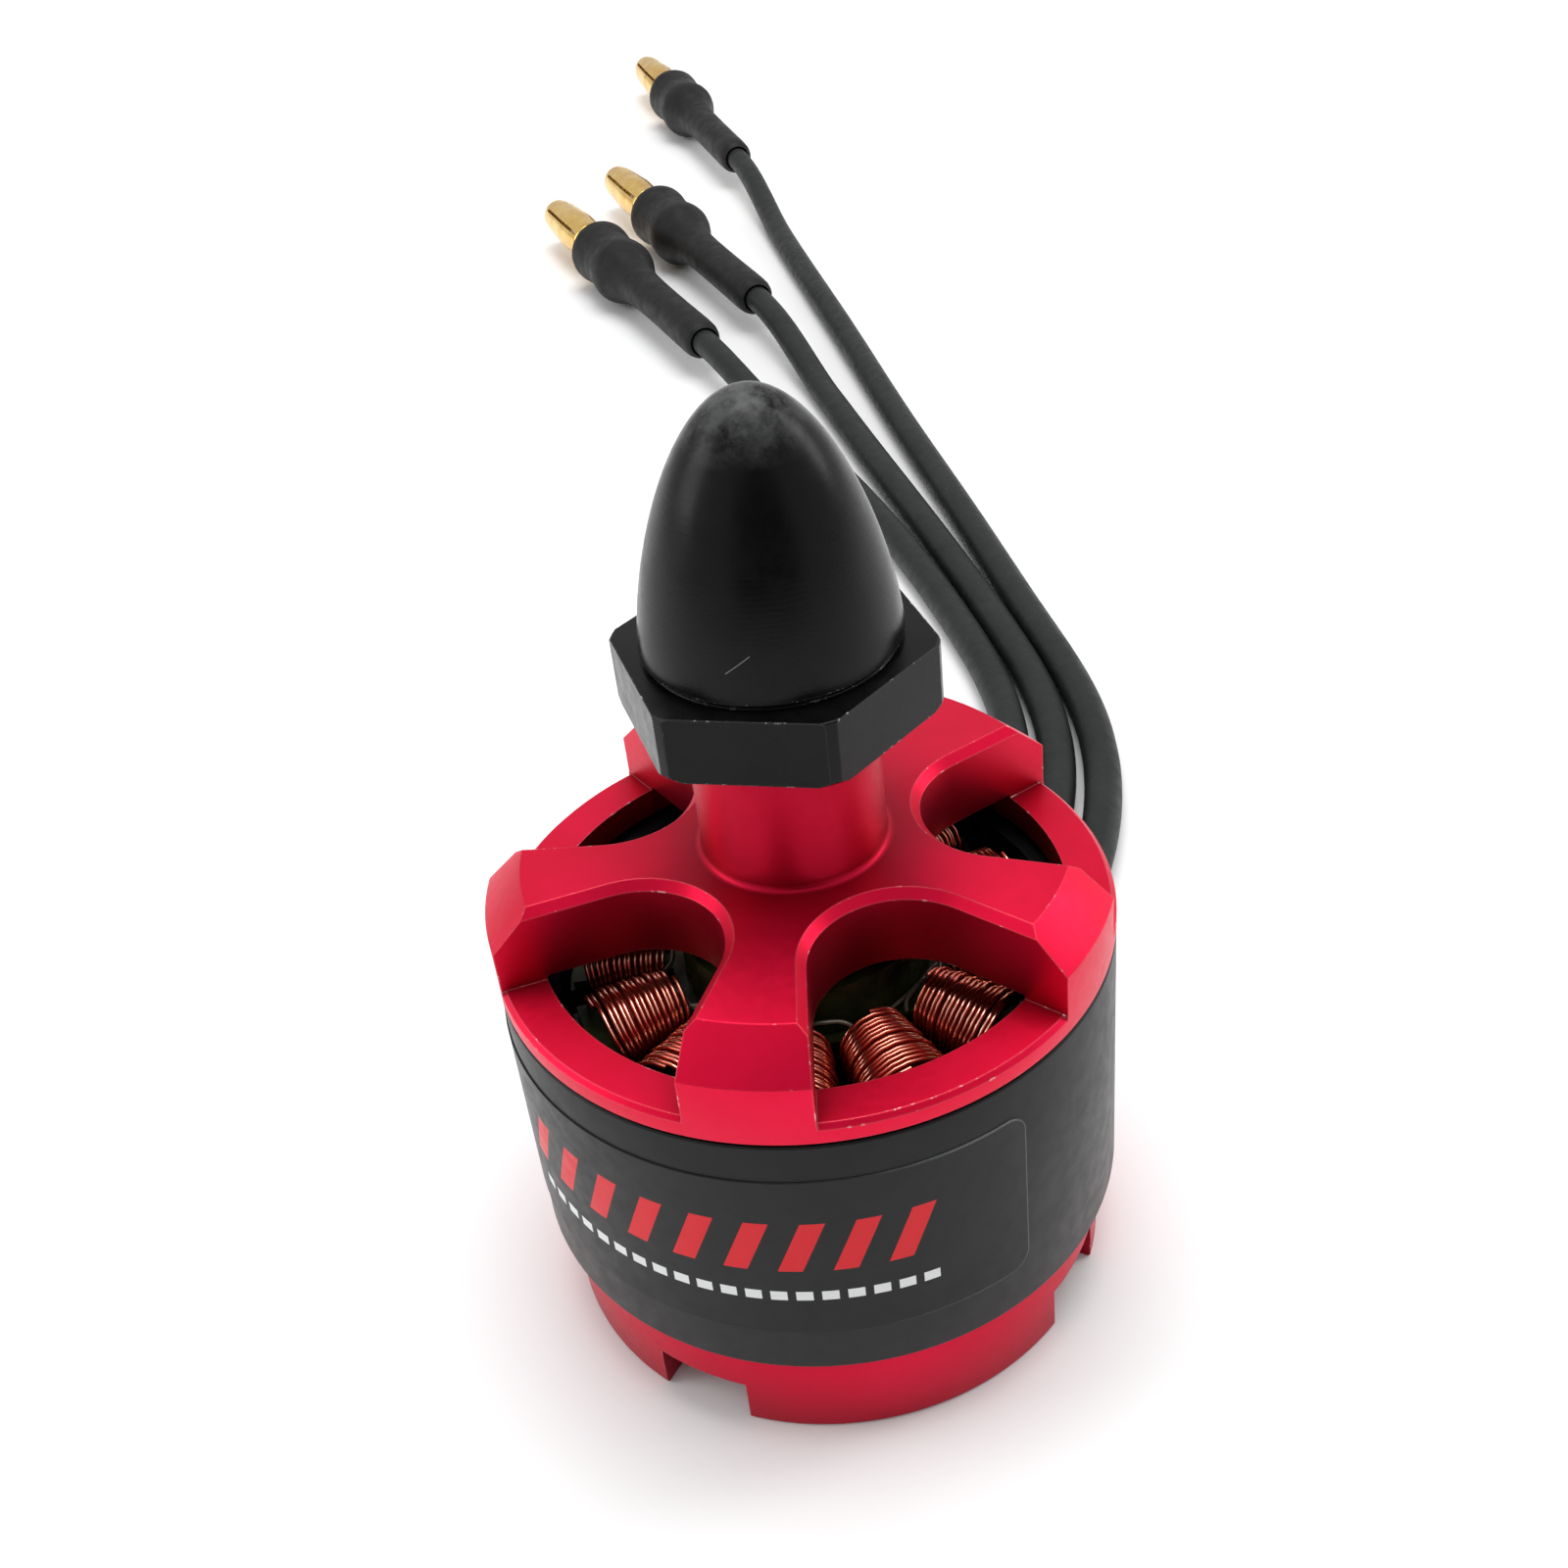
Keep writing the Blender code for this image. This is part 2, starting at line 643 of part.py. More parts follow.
def connector_frame(route):
    """The connector's mouth and tip, and the direction from one to the other."""
    mouth = Vector((route["mouth"][0] * MM, route["mouth"][1] * MM, CONNECTOR_HEIGHT))
    tip = Vector((route["tip"][0] * MM, route["tip"][1] * MM, CONNECTOR_HEIGHT))
    return mouth, tip, (tip - mouth).normalized()


def ease(share):
    share = min(max(share, 0.0), 1.0)
    return share * share * (3 - 2 * share)


def lead_path(route):
    """From the well in the base, out through the cable slot, over the table and into the sleeve."""
    turn = turn_to(CABLE_ANGLE)
    in_slot = (9.2 * MM, 10.6 * MM, 12.4 * MM, 14.2 * MM)
    points = [turn @ Vector((along, route["side"], 0)) for along in in_slot]
    points += [Vector((x * MM, y * MM, 0)) for x, y in route["table"]]
    mouth, _, along = connector_frame(route)
    points.append(Vector((mouth.x, mouth.y, 0)))
    outwards = turn @ Vector((1, 0, 0))
    spacing = 2.3 * LEAD_DIAMETER
    path = even_points(clamped_spline(points, outwards, along), spacing)
    start_height, drop_run, rise_run, reach_in = 1.6 * MM, 4.5 * MM, 20 * MM, 24 * MM
    for place in path:
        gone = np.linalg.norm(place - path[0])
        left = np.linalg.norm(place - path[-1])
        drop = (start_height - LEAD_HEIGHT) * (1 - ease(gone / drop_run))
        rise = (CONNECTOR_HEIGHT - LEAD_HEIGHT) * (1 - ease(left / rise_run))
        place[2] = LEAD_HEIGHT + drop + rise
    return [Vector(place) for place in path] + [mouth + along * reach_in]


def make_lead(letter, route, finish, parent):
    path = lead_path(route)
    curve = bpy.data.curves.new(f"lead_{letter}", "CURVE")
    curve.dimensions = "3D"
    curve.bevel_depth = LEAD_DIAMETER / 2
    curve.bevel_resolution = 2
    curve.use_fill_caps = True
    spline = curve.splines.new("POLY")
    spline.points.add(len(path) - 1)
    for point, place in zip(spline.points, path):
        point.co = (*place, 1)
    curve.materials.append(finish)
    lead = bpy.data.objects.new(f"lead_{letter}", curve)
    bpy.context.scene.collection.objects.link(lead)
    lead.parent = parent


def make_connector(letter, route, finishes, parent):
    """A heat-shrink sleeve over the solder cup of a 4 mm bullet plug."""
    mouth, tip, along = connector_frame(route)
    place = Matrix.Translation(mouth) @ along.to_track_quat("Z", "X").to_matrix().to_4x4()
    length = (tip - mouth).length
    pin_start = length - PIN_LENGTH
    cup_start = pin_start - CUP_LENGTH
    cup_radius, thin_radius, wire_bore = 2.75 * MM, 2.0 * MM, LEAD_DIAMETER / 2 + 0.15 * MM
    shoulder_start, shoulder_end = cup_start - 2.6 * MM, cup_start - 0.6 * MM
    cup_bore, lip_bore, lip = cup_radius + 0.15 * MM, 2.2 * MM, 0.3 * MM
    sleeve = [
        (wire_bore, 0),
        (thin_radius, 0),
        (thin_radius, shoulder_start),
        (SLEEVE_RADIUS, shoulder_end),
        (SLEEVE_RADIUS, pin_start - 0.7 * MM),
        (SLEEVE_RADIUS - 0.5 * MM, pin_start),
        (lip_bore, pin_start),
        (lip_bore, pin_start - lip),
        (cup_bore, pin_start - lip),
        (cup_bore, shoulder_end),
        (wire_bore, shoulder_start),
    ]
    turned(f"shrink_sleeve_{letter}", sleeve, SMALL, finishes["sleeve"], parent, place)
    pin_radius, stem_radius, stem_length = 2.0 * MM, 1.6 * MM, 5.5 * MM
    cup_end = pin_start - 0.6 * MM
    bullet = [
        (0, cup_start + stem_length),
        (stem_radius, cup_start + stem_length),
        (stem_radius, cup_start),
        (cup_radius, cup_start),
        (cup_radius, cup_end),
        (pin_radius, cup_end),
        (pin_radius - 0.1 * MM, pin_start + 1.6 * MM),
        (pin_radius - 0.1 * MM, pin_start + 3.0 * MM),
        (pin_radius + 0.15 * MM, pin_start + 6.5 * MM),
        (pin_radius - 0.1 * MM, length - 3.2 * MM),
        (pin_radius - 0.25 * MM, length - 1.4 * MM),
        (pin_radius - 0.9 * MM, length - 0.25 * MM),
        (0, length),
    ]
    turned(f"bullet_plug_{letter}", bullet, SMALL, finishes["gold"], parent, place)


def main():
    clear_scene()
    finishes = {
        "red": material("red_anodised", (0.60, 0.012, 0.055), 0.38, 0.75),
        "can": material("black_coated_steel", (0.035, 0.037, 0.037), 0.42, 0.4),
        "nut": material("black_anodised", (0.012, 0.012, 0.013), 0.3, 0.6),
        "steel": material("bearing_steel", (0.62, 0.63, 0.65), 0.22, 1.0),
        "magnet": material("nickel_magnet", (0.35, 0.35, 0.36), 0.3, 1.0),
        "core": material("lacquered_laminations", (0.035, 0.04, 0.02), 0.45, 0.3),
        "insulator": material("insulating_lacquer", (0.03, 0.045, 0.02), 0.4, 0.0),
        "copper": material("enamelled_copper", (0.72, 0.27, 0.13), 0.28, 1.0),
        "lead": material("lead_silicone", (0.03, 0.035, 0.035), 0.55, 0.0),
        "sleeve": material("heat_shrink", (0.018, 0.019, 0.02), 0.6, 0.0),
        "gold": material("gold_plating", (0.86, 0.62, 0.24), 0.22, 1.0),
        "label": material("label_film", (0.03, 0.031, 0.033), 0.35, 0.0),
    }
    stator = bpy.data.objects.new("stator_axis", None)
    rotor = bpy.data.objects.new("rotor_axis", None)
    for axis in (stator, rotor):
        bpy.context.scene.collection.objects.link(axis)

    make_base(finishes["red"], stator)
    make_stator(finishes, stator)
    make_windings(finishes["copper"], stator)
    for prefix, low in (("lower", LOWER_BEARING_Z), ("upper", UPPER_BEARING_Z)):
        make_races(prefix, low, finishes, stator, rotor)
        make_shields(prefix, low, finishes["steel"], stator)
        make_ball_set(prefix, low, finishes, stator)
    for letter, route in LEAD_ROUTES.items():
        make_lead(letter, route, finishes["lead"], stator)
        make_connector(letter, route, finishes, stator)

    ring = ring_profile(RING_BORE, CAN_RADIUS, RING_LOW, RING_HIGH)
    turned("flux_ring", ring, FINE, finishes["can"], rotor)
    make_magnets(finishes["magnet"], rotor)
    make_bell(finishes["red"], rotor)
    make_shaft(finishes["steel"], rotor)
    make_circlip(finishes["steel"], rotor)
    make_washers(finishes["steel"], rotor)
    make_label(finishes["label"], rotor)
    make_nut(finishes["nut"], rotor)


main()
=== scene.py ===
"""Looks of a brushless outrunner motor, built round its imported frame.

Everything is in metres, in the frame's own axes: Z is the spin axis and the motor stands on Z = 0.
"""

import math
import random

import bmesh
import bpy
import numpy as np
from mathutils import Matrix, Vector


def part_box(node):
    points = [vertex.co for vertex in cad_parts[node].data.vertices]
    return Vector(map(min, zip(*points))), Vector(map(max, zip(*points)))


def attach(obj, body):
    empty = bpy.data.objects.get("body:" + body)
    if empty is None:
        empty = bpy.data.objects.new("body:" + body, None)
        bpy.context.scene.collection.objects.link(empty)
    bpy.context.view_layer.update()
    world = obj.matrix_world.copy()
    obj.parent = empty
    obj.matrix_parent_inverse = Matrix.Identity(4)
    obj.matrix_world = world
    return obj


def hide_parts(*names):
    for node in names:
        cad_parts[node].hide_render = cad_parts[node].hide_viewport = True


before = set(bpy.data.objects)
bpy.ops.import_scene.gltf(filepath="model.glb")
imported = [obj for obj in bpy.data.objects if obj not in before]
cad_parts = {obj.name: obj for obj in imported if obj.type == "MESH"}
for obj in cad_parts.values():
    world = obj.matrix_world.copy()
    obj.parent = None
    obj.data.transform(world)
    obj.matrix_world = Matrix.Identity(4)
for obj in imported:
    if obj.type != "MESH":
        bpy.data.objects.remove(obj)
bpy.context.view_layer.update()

MM = 0.001

# Places read from the frame
BASE_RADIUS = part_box("mount_base")[1].x
RING_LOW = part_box("flux_ring")[0].z
RING_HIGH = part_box("flux_ring")[1].z
CAN_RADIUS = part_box("flux_ring")[1].x
LABEL_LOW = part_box("wrap_label")[0].z
LABEL_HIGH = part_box("wrap_label")[1].z
LABEL_RADIUS = -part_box("wrap_label")[0].x
SPIGOT_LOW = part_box("bell")[0].z
STUB_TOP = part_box("bell")[1].z
NUT_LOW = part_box("prop_nut")[0].z
NUT_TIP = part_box("prop_nut")[1].z
COIL_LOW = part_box("phase_u_winding")[0].z
COIL_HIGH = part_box("phase_u_winding")[1].z
CORE_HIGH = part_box("stator_core")[1].z

# Shape of the turned and milled parts, as in the CAD
BELL_LOW = 19.34 * MM
RIM_TOP = 20.31 * MM
WEB_LOW = 20.5 * MM
BELL_TOP = 24.17 * MM
POST_RADIUS = 4.07 * MM
POST_TOP = 31.0 * MM
STUB_RADIUS = 2.95 * MM
SHAFT_BORE = 2.03 * MM
NUT_FLATS = 12.1 * MM
FLOOR_TOP = 3.0 * MM
BASE_TOP = 5.0 * MM
NOTCH_HEIGHT = 2.42 * MM
BEARING_SEAT = 4.53 * MM

# Angles, in degrees anticlockwise from +X
SPOKES = 5
FIRST_SPOKE = -103.1
FIRST_TOOTH = 21.0
FIRST_FOOT = -77.7
CABLE_ANGLE = 57.3
NUT_CORNER = -14.34

LEAD_DIAMETER = 2.4 * MM
FINE_STEPS = 192


# Small helpers


def srgb(red, green, blue):
    """A colour given as 0 to 255 on screen, as the linear values that shaders use."""

    def linear(value):
        share = value / 255
        return share / 12.92 if share <= 0.04045 else ((share + 0.055) / 1.055) ** 2.4

    return (linear(red), linear(green), linear(blue), 1.0)


def polar(radius, degrees, height=0.0):
    angle = math.radians(degrees)
    return Vector((radius * math.cos(angle), radius * math.sin(angle), height))


def turn_to(degrees):
    return Matrix.Rotation(math.radians(degrees), 4, "Z")


# Node materials


class Finish:
    """A Principled material whose nodes are added by name."""

    def __init__(self, name, color, roughness, metallic=0.0, **constants):
        self.material = bpy.data.materials.new(name)
        self.material.use_nodes = True
        self.tree = self.material.node_tree
        self.shader = self.tree.nodes["Principled BSDF"]
        self.use(Base_Color=color, Roughness=roughness, Metallic=metallic, **constants)
        self.place = self.add("ShaderNodeTexCoord").outputs["Object"]

    def set(self, node, inputs):
        for key, value in inputs.items():
            socket = node.inputs[key]
            if isinstance(value, bpy.types.NodeSocket):
                self.tree.links.new(value, socket)
            else:
                socket.default_value = value

    def add(self, kind, inputs=(), **settings):
        node = self.tree.nodes.new(kind)
        for key, value in settings.items():
            setattr(node, key, value)
        self.set(node, dict(inputs))
        return node

    def math(self, operation, first, second=0.0):
        return self.add("ShaderNodeMath", {0: first, 1: second}, operation=operation).outputs[0]

    def times(self, first, second):
        return self.math("MULTIPLY", first, second)

    def plus(self, first, second):
        return self.math("ADD", first, second)

    def vector_math(self, operation, first, second=(0, 0, 0), result="Vector"):
        node = self.add("ShaderNodeVectorMath", {0: first, 1: second}, operation=operation)
        return node.outputs[result]

    def noise(self, scale, detail, roughness=0.5, place=None):
        inputs = {"Vector": place or self.place, "Scale": scale, "Detail": detail, "Roughness": roughness}
        return self.add("ShaderNodeTexNoise", inputs).outputs["Fac"]

    def scaled(self, x, y, z):
        return self.vector_math("MULTIPLY", self.place, (x, y, z))

    def spread(self, value, low, high, to_low=0.0, to_high=1.0):
        """The value's stretch from low to high, mapped onto another stretch and held at its ends."""
        inputs = {"Value": value, 1: low, 2: high, 3: to_low, 4: to_high}
        return self.add("ShaderNodeMapRange", inputs, clamp=True).outputs[0]

    def mix(self, share, first, second):
        node = self.add("ShaderNodeMix", data_type="RGBA")
        self.set(node, {0: share, 6: first, 7: second})
        return node.outputs[2]

    def uneven(self, low, high, scale, detail, roughness=0.5):
        """A value that wanders over the surface between low and high."""
        return self.spread(self.noise(scale, detail, roughness), 0.3, 0.7, low, high)

    def mottled(self, dark, light, scale, detail, roughness=0.5):
        """A colour that wanders over the surface between dark and light."""
        return self.mix(self.uneven(0.0, 1.0, scale, detail, roughness), dark, light)

    def radius(self):
        return self.vector_math("LENGTH", self.scaled(1, 1, 0), result="Value")

    def height(self):
        return self.add("ShaderNodeSeparateXYZ", {0: self.place}).outputs["Z"]

    def bearing(self):
        """The angle round the spin axis, in degrees from -180 to 180."""
        parts = self.add("ShaderNodeSeparateXYZ", {0: self.place})
        angle = self.math("ARCTAN2", parts.outputs["Y"], parts.outputs["X"])
        return self.times(angle, math.degrees(1))

    def rounded_normal(self, width):
        """The surface normal, rounded over at every edge."""
        return self.add("ShaderNodeBevel", {"Radius": width}, samples=4).outputs["Normal"]

    def near_edge(self, width):
        """1 close to an edge and 0 away from it."""
        true_normal = self.add("ShaderNodeNewGeometry").outputs["Normal"]
        match = self.vector_math("DOT_PRODUCT", self.rounded_normal(width), true_normal, "Value")
        return self.spread(match, 0.985, 0.9)

    def worn(self, width, low, high, least):
        """A faint light line along every edge, with brighter chips in it."""
        chips = self.spread(self.noise(1700, 3, 0.7), low, high, least, 1.0)
        return self.times(self.near_edge(width), chips)

    def scratch(self, first, last, low, high, width):
        """1 on a fine line that climbs from low to high between two bearings."""
        bearing = self.bearing()
        inputs = {"Value": bearing, 1: first, 2: last, 3: low, 4: high}
        line = self.add("ShaderNodeMapRange", inputs, clamp=False)
        off = self.math("ABSOLUTE", self.math("SUBTRACT", self.height(), line.outputs[0]))
        reach = self.math("ABSOLUTE", self.math("SUBTRACT", bearing, (first + last) / 2))
        ends = self.math("LESS_THAN", reach, abs(last - first) / 2)
        return self.times(self.spread(off, width, width / 3), ends)

    def bump(self, height, depth, normal=None, strength=1.0):
        inputs = {"Height": height, "Distance": depth, "Strength": strength}
        if normal:
            inputs["Normal"] = normal
        return self.add("ShaderNodeBump", inputs).outputs["Normal"]

    def use(self, **sockets):
        """Sets or links the shader's own sockets, named with _ for a space."""
        self.set(self.shader, {key.replace("_", " "): value for key, value in sockets.items()})
        return self.material


def turning_marks(finish, pitch):
    """Very fine rings round the spin axis, as a lathe leaves, with a little unevenness."""
    wander = finish.times(finish.noise(900, 2), pitch * 0.8)
    ring = finish.plus(finish.radius(), wander)
    ring = finish.plus(ring, finish.height())
    return finish.math("SINE", finish.times(ring, 2 * math.pi / pitch))


def red_anodised():
    """Blasted and dyed aluminium, with painted shade that darkens the red in the recesses and on the post.
    """
    finish = Finish("red_anodised", srgb(214, 8, 56), 0.42, 0.8, Specular_IOR_Level=0.35)
    red = finish.mottled(srgb(212, 5, 50), srgb(222, 11, 60), 220, 4, 0.6)
    # Painted shade: the red darkens where little open air is round the surface, in the windows and
    # recesses, and half as much low on the base.
    open_to_air = finish.add("ShaderNodeAmbientOcclusion", {"Distance": 9 * MM}, samples=8).outputs["AO"]
    shade = finish.times(
        finish.spread(open_to_air, 0.88, 0.35, 0.0, 0.9),
        finish.spread(finish.height(), BASE_TOP, WEB_LOW, 0.5, 1.0),
    )
    # Painted shade on the post, below the nut.
    post_shade = finish.times(
        finish.spread(finish.radius(), POST_RADIUS + 0.05 * MM, POST_RADIUS + 0.3 * MM, 0.34, 0.0),
        finish.spread(finish.height(), BELL_TOP, BELL_TOP + 0.3 * MM),
    )
    red = finish.mix(finish.math("MAXIMUM", shade, post_shade), red, srgb(88, 2, 8))
    blast = finish.times(finish.noise(9000, 2), 0.6)
    rings = finish.times(turning_marks(finish, 0.09 * MM), 0.12)
    relief = finish.plus(blast, rings)
    return finish.use(
        Base_Color=finish.mix(finish.worn(0.11 * MM, 0.61, 0.66, 0.1), red, srgb(238, 226, 226)),
        Roughness=finish.uneven(0.38, 0.44, 2500, 3),
        Normal=finish.bump(relief, 0.002 * MM, finish.rounded_normal(0.06 * MM), 0.5),
    )


def can_coating():
    finish = Finish("can_coating", srgb(30, 31, 31), 0.4, Specular_IOR_Level=0.2)
    black = finish.mottled(srgb(13, 14, 14), srgb(22, 23, 23), 350, 4, 0.65)
    scratches = finish.noise(1, 2, 0.5, finish.scaled(9000, 9000, 400))
    relief = finish.plus(finish.noise(7000, 2), finish.times(scratches, 0.4))
    return finish.use(
        Base_Color=finish.mix(finish.worn(0.1 * MM, 0.66, 0.7, 0.04), black, srgb(205, 207, 205)),
        Roughness=finish.uneven(0.32, 0.42, 1200, 3),
        Normal=finish.bump(relief, 0.0015 * MM, finish.rounded_normal(0.06 * MM), 0.4),
    )


def nut_anodised():
    """Black, rubbed grey in smears at the tip, partly wear and partly a painted highlight, with one fine
    scratch low on the dome.
    """
    finish = Finish("nut_anodised", srgb(16, 16, 17), 0.3, Specular_IOR_Level=0.16)
    tone = finish.spread(finish.noise(260, 4, 0.6), 0.35, 0.7)
    black = finish.mix(tone, srgb(4, 4, 5), srgb(12, 12, 13))
    # Grey smears near the tip: rub wear, and a painted highlight where the top of the dome faces the light.
    rub_and_sheen = finish.spread(finish.height(), NUT_TIP - 2.2 * MM, NUT_TIP)
    smears = finish.spread(finish.noise(700, 5, 0.7), 0.42, 0.62)
    rub_and_sheen = finish.times(rub_and_sheen, smears)
    black = finish.mix(finish.times(rub_and_sheen, 0.6), black, srgb(104, 105, 105))
    scratch = finish.scratch(-111.3, -100.2, 35.82 * MM, 36.57 * MM, 0.03 * MM)
    black = finish.mix(scratch, black, srgb(120, 122, 122))
    rings = finish.times(turning_marks(finish, 0.16 * MM), 0.25)
    relief = finish.plus(finish.times(finish.noise(5200, 2), 0.5), rings)
    return finish.use(
        Base_Color=finish.mix(finish.worn(0.1 * MM, 0.585, 0.64, 0.08), black, srgb(210, 210, 210)),
        Roughness=finish.uneven(0.22, 0.34, 900, 4, 0.65),
        Normal=finish.bump(relief, 0.003 * MM, finish.rounded_normal(0.07 * MM), 0.5),
    )


def label_film():
    """Black film with a plain graphic: slanted red bars over a row of short white dashes."""
    finish = Finish("label_film", srgb(30, 32, 32), 0.33, Specular_IOR_Level=0.2)
    # Millimetres along the film and up it
    along = finish.times(finish.bearing(), math.radians(1) * LABEL_RADIUS / MM)
    up = finish.math("DIVIDE", finish.height(), MM)

    def between(value, low, high):
        inside = finish.math("GREATER_THAN", value, low)
        return finish.times(inside, finish.math("LESS_THAN", value, high))

    def marks(position, pitch, filled, band, stretch):
        """1 on marks that fill a share of each pitch, within a band of heights and a stretch."""
        offset = 100.0
        phase = finish.math("FRACT", finish.math("DIVIDE", finish.plus(position, offset), pitch))
        inside = finish.times(between(phase, 0.0, filled), between(up, *band))
        return finish.times(inside, between(position, *stretch))

    slant = 0.4
    leaning = finish.math("SUBTRACT", along, finish.times(up, slant))
    bars = marks(leaning, pitch=2.35, filled=0.45, band=(11.9, 14.8), stretch=(-44.0, -22.9))
    dashes = marks(along, pitch=1.1, filled=0.66, band=(10.05, 10.6), stretch=(-38.6, -17.6))
    film = finish.mottled(srgb(11, 12, 12), srgb(19, 20, 20), 300, 4, 0.6)
    color = finish.mix(bars, film, srgb(216, 24, 36))
    color = finish.mix(dashes, color, srgb(226, 228, 228))
    # The line along the film's edges: painted shadow, black over most of the film, and pale at the right
    # end, where the clear film edge shows.
    outline = finish.mix(finish.spread(finish.bearing(), -84, -66), srgb(3, 3, 3), srgb(120, 122, 122))
    color = finish.mix(finish.near_edge(0.1 * MM), color, outline)
    creases = finish.noise(1, 3, 0.6, finish.scaled(260, 260, 700))
    return finish.use(
        Base_Color=color,
        Roughness=finish.uneven(0.3, 0.42, 1500, 3),
        Normal=finish.bump(creases, 0.01 * MM, None, 0.6),
    )


def darkened_below(finish, color, dark):
    """The colour, fading to a dark one down in the slots, where hardly any light reaches."""
    depth = finish.spread(finish.height(), COIL_HIGH - 2.0 * MM, COIL_HIGH - 3.2 * MM)
    return finish.mix(depth, color, dark)


def copper_wire():
    """A painted highlight on the crest of each turn, and painted dark red shade in between the turns."""
    finish = Finish("enamelled_copper", srgb(226, 128, 96), 0.2, 1.0, Coat_Weight=0.5, Coat_Roughness=0.1)
    color = finish.mottled(srgb(255, 176, 144), srgb(255, 216, 194), 420, 2)
    outwards = finish.vector_math("NORMALIZE", finish.scaled(1, 1, 0))
    normal = finish.add("ShaderNodeTexCoord").outputs["Normal"]
    # Painted highlight and shade across each wire: light on the crest, darker on the shoulders, dark red
    # and less metallic in the grooves between turns.
    off_crest = finish.math("ABSOLUTE", finish.vector_math("DOT_PRODUCT", normal, outwards, "Value"))
    groove = finish.spread(off_crest, 0.5, 0.9)
    color = finish.mix(finish.spread(off_crest, 0.15, 0.55), color, srgb(226, 96, 66))
    color = finish.mix(groove, color, srgb(170, 30, 22))
    # Painted shade: darker down the flanks of each coil, below the crown.
    flank_shade = finish.spread(finish.height(), COIL_HIGH - 0.6 * MM, COIL_HIGH - 2.1 * MM)
    color = finish.mix(flank_shade, color, srgb(112, 16, 12))
    return finish.use(
        Base_Color=darkened_below(finish, color, srgb(24, 5, 4)),
        Metallic=finish.spread(groove, 0.0, 1.0, 1.0, 0.45),
        Roughness=finish.uneven(0.17, 0.23, 600, 2),
    )


def packed_copper():
    """The inner layers of wire, seen only between the turns of the outer one, in a dark red that paints the
    shade and red bounce light there.
    """
    finish = Finish("shadowed_copper", srgb(120, 46, 30), 0.4, 0.3, Specular_IOR_Level=0.3)
    # Painted shade and red bounce light: dark red in place of bright copper.
    color = finish.mottled(srgb(122, 20, 14), srgb(158, 32, 22), 1200, 3, 0.6)
    return finish.use(
        Base_Color=darkened_below(finish, color, srgb(20, 4, 4)),
        Normal=finish.bump(finish.noise(4000, 3), 0.01 * MM),
    )


def lacquered(name, dark, light, gloss):
    """Lacquer with faint level lines, as the edges of thin sheets leave."""
    finish = Finish(name, dark, 0.45, Specular_IOR_Level=0.2, Coat_Weight=gloss, Coat_Roughness=0.2)
    tone = finish.spread(finish.noise(500, 4, 0.65), 0.35, 0.7)
    sheets = finish.math("SINE", finish.times(finish.height(), 2 * math.pi / (0.35 * MM)))
    relief = finish.plus(finish.noise(2600, 3), finish.times(sheets, 0.25))
    return finish.use(
        Base_Color=finish.mix(tone, dark, light),
        Roughness=finish.uneven(0.26, 0.5, 1100, 3),
        Normal=finish.bump(relief, 0.012 * MM, None, 0.7),
    )


def magnet_coating():
    """Black epoxy, matt, a little uneven where it was sprayed."""
    finish = Finish("magnet_coating", srgb(10, 10, 10), 0.7, Specular_IOR_Level=0.1)
    return finish.use(
        Base_Color=finish.mottled(srgb(6, 6, 6), srgb(16, 16, 17), 900, 3),
        Roughness=finish.uneven(0.6, 0.8, 1400, 2),
        Normal=finish.bump(finish.noise(3600, 3), 0.008 * MM),
    )


def ground_steel(name, dark, light, roughness):
    finish = Finish(name, light, roughness, 1.0)
    relief = finish.plus(finish.noise(5000, 2), turning_marks(finish, 0.07 * MM))
    return finish.use(
        Base_Color=finish.mottled(dark, light, 800, 3, 0.6),
        Roughness=finish.uneven(roughness - 0.05, roughness + 0.1, 2200, 3),
        Normal=finish.bump(relief, 0.002 * MM, finish.rounded_normal(0.04 * MM), 0.4),
    )


def lead_silicone():
    """Soft black rubber with a little pale dust on it."""
    finish = Finish("lead_silicone", srgb(22, 25, 25), 0.52, Specular_IOR_Level=0.3)
    dust = finish.spread(finish.noise(3800, 3, 0.7), 0.68, 0.76)
    color = finish.mottled(srgb(14, 17, 17), srgb(26, 30, 30), 260, 4, 0.65)
    relief = finish.plus(finish.noise(2400, 3), finish.noise(400, 2))
    return finish.use(
        Base_Color=finish.mix(finish.times(dust, 0.4), color, srgb(128, 132, 130)),
        Roughness=finish.uneven(0.44, 0.6, 1200, 3),
        Normal=finish.bump(relief, 0.02 * MM, None, 0.6),
    )


def heat_shrink():
    finish = Finish("heat_shrink", srgb(16, 16, 18), 0.55, Specular_IOR_Level=0.25)
    wrinkles = finish.noise(1, 4, 0.55, finish.scaled(420, 240, 420))
    relief = finish.plus(wrinkles, finish.times(finish.noise(3200, 3), 0.3))
    return finish.use(
        Base_Color=finish.mottled(srgb(9, 9, 10), srgb(18, 18, 20), 420, 4, 0.65),
        Roughness=finish.uneven(0.46, 0.66, 900, 3),
        Normal=finish.bump(relief, 0.09 * MM, None, 0.6),
    )


def gold_plating():
    finish = Finish("gold_plating", srgb(236, 196, 104), 0.2, 1.0)
    return finish.use(
        Base_Color=finish.mottled(srgb(222, 170, 80), srgb(248, 214, 132), 500, 4, 0.6),
        Roughness=finish.uneven(0.14, 0.3, 1800, 3),
        Normal=finish.bump(finish.noise(4200, 2), 0.003 * MM, finish.rounded_normal(0.05 * MM), 0.4),
    )


def studio_floor():
    finish = Finish("studio_floor", srgb(246, 246, 246), 0.6)
    return finish.use(Base_Color=finish.mottled(srgb(244, 244, 245), srgb(249, 249, 249), 6, 3))


# Mesh tools


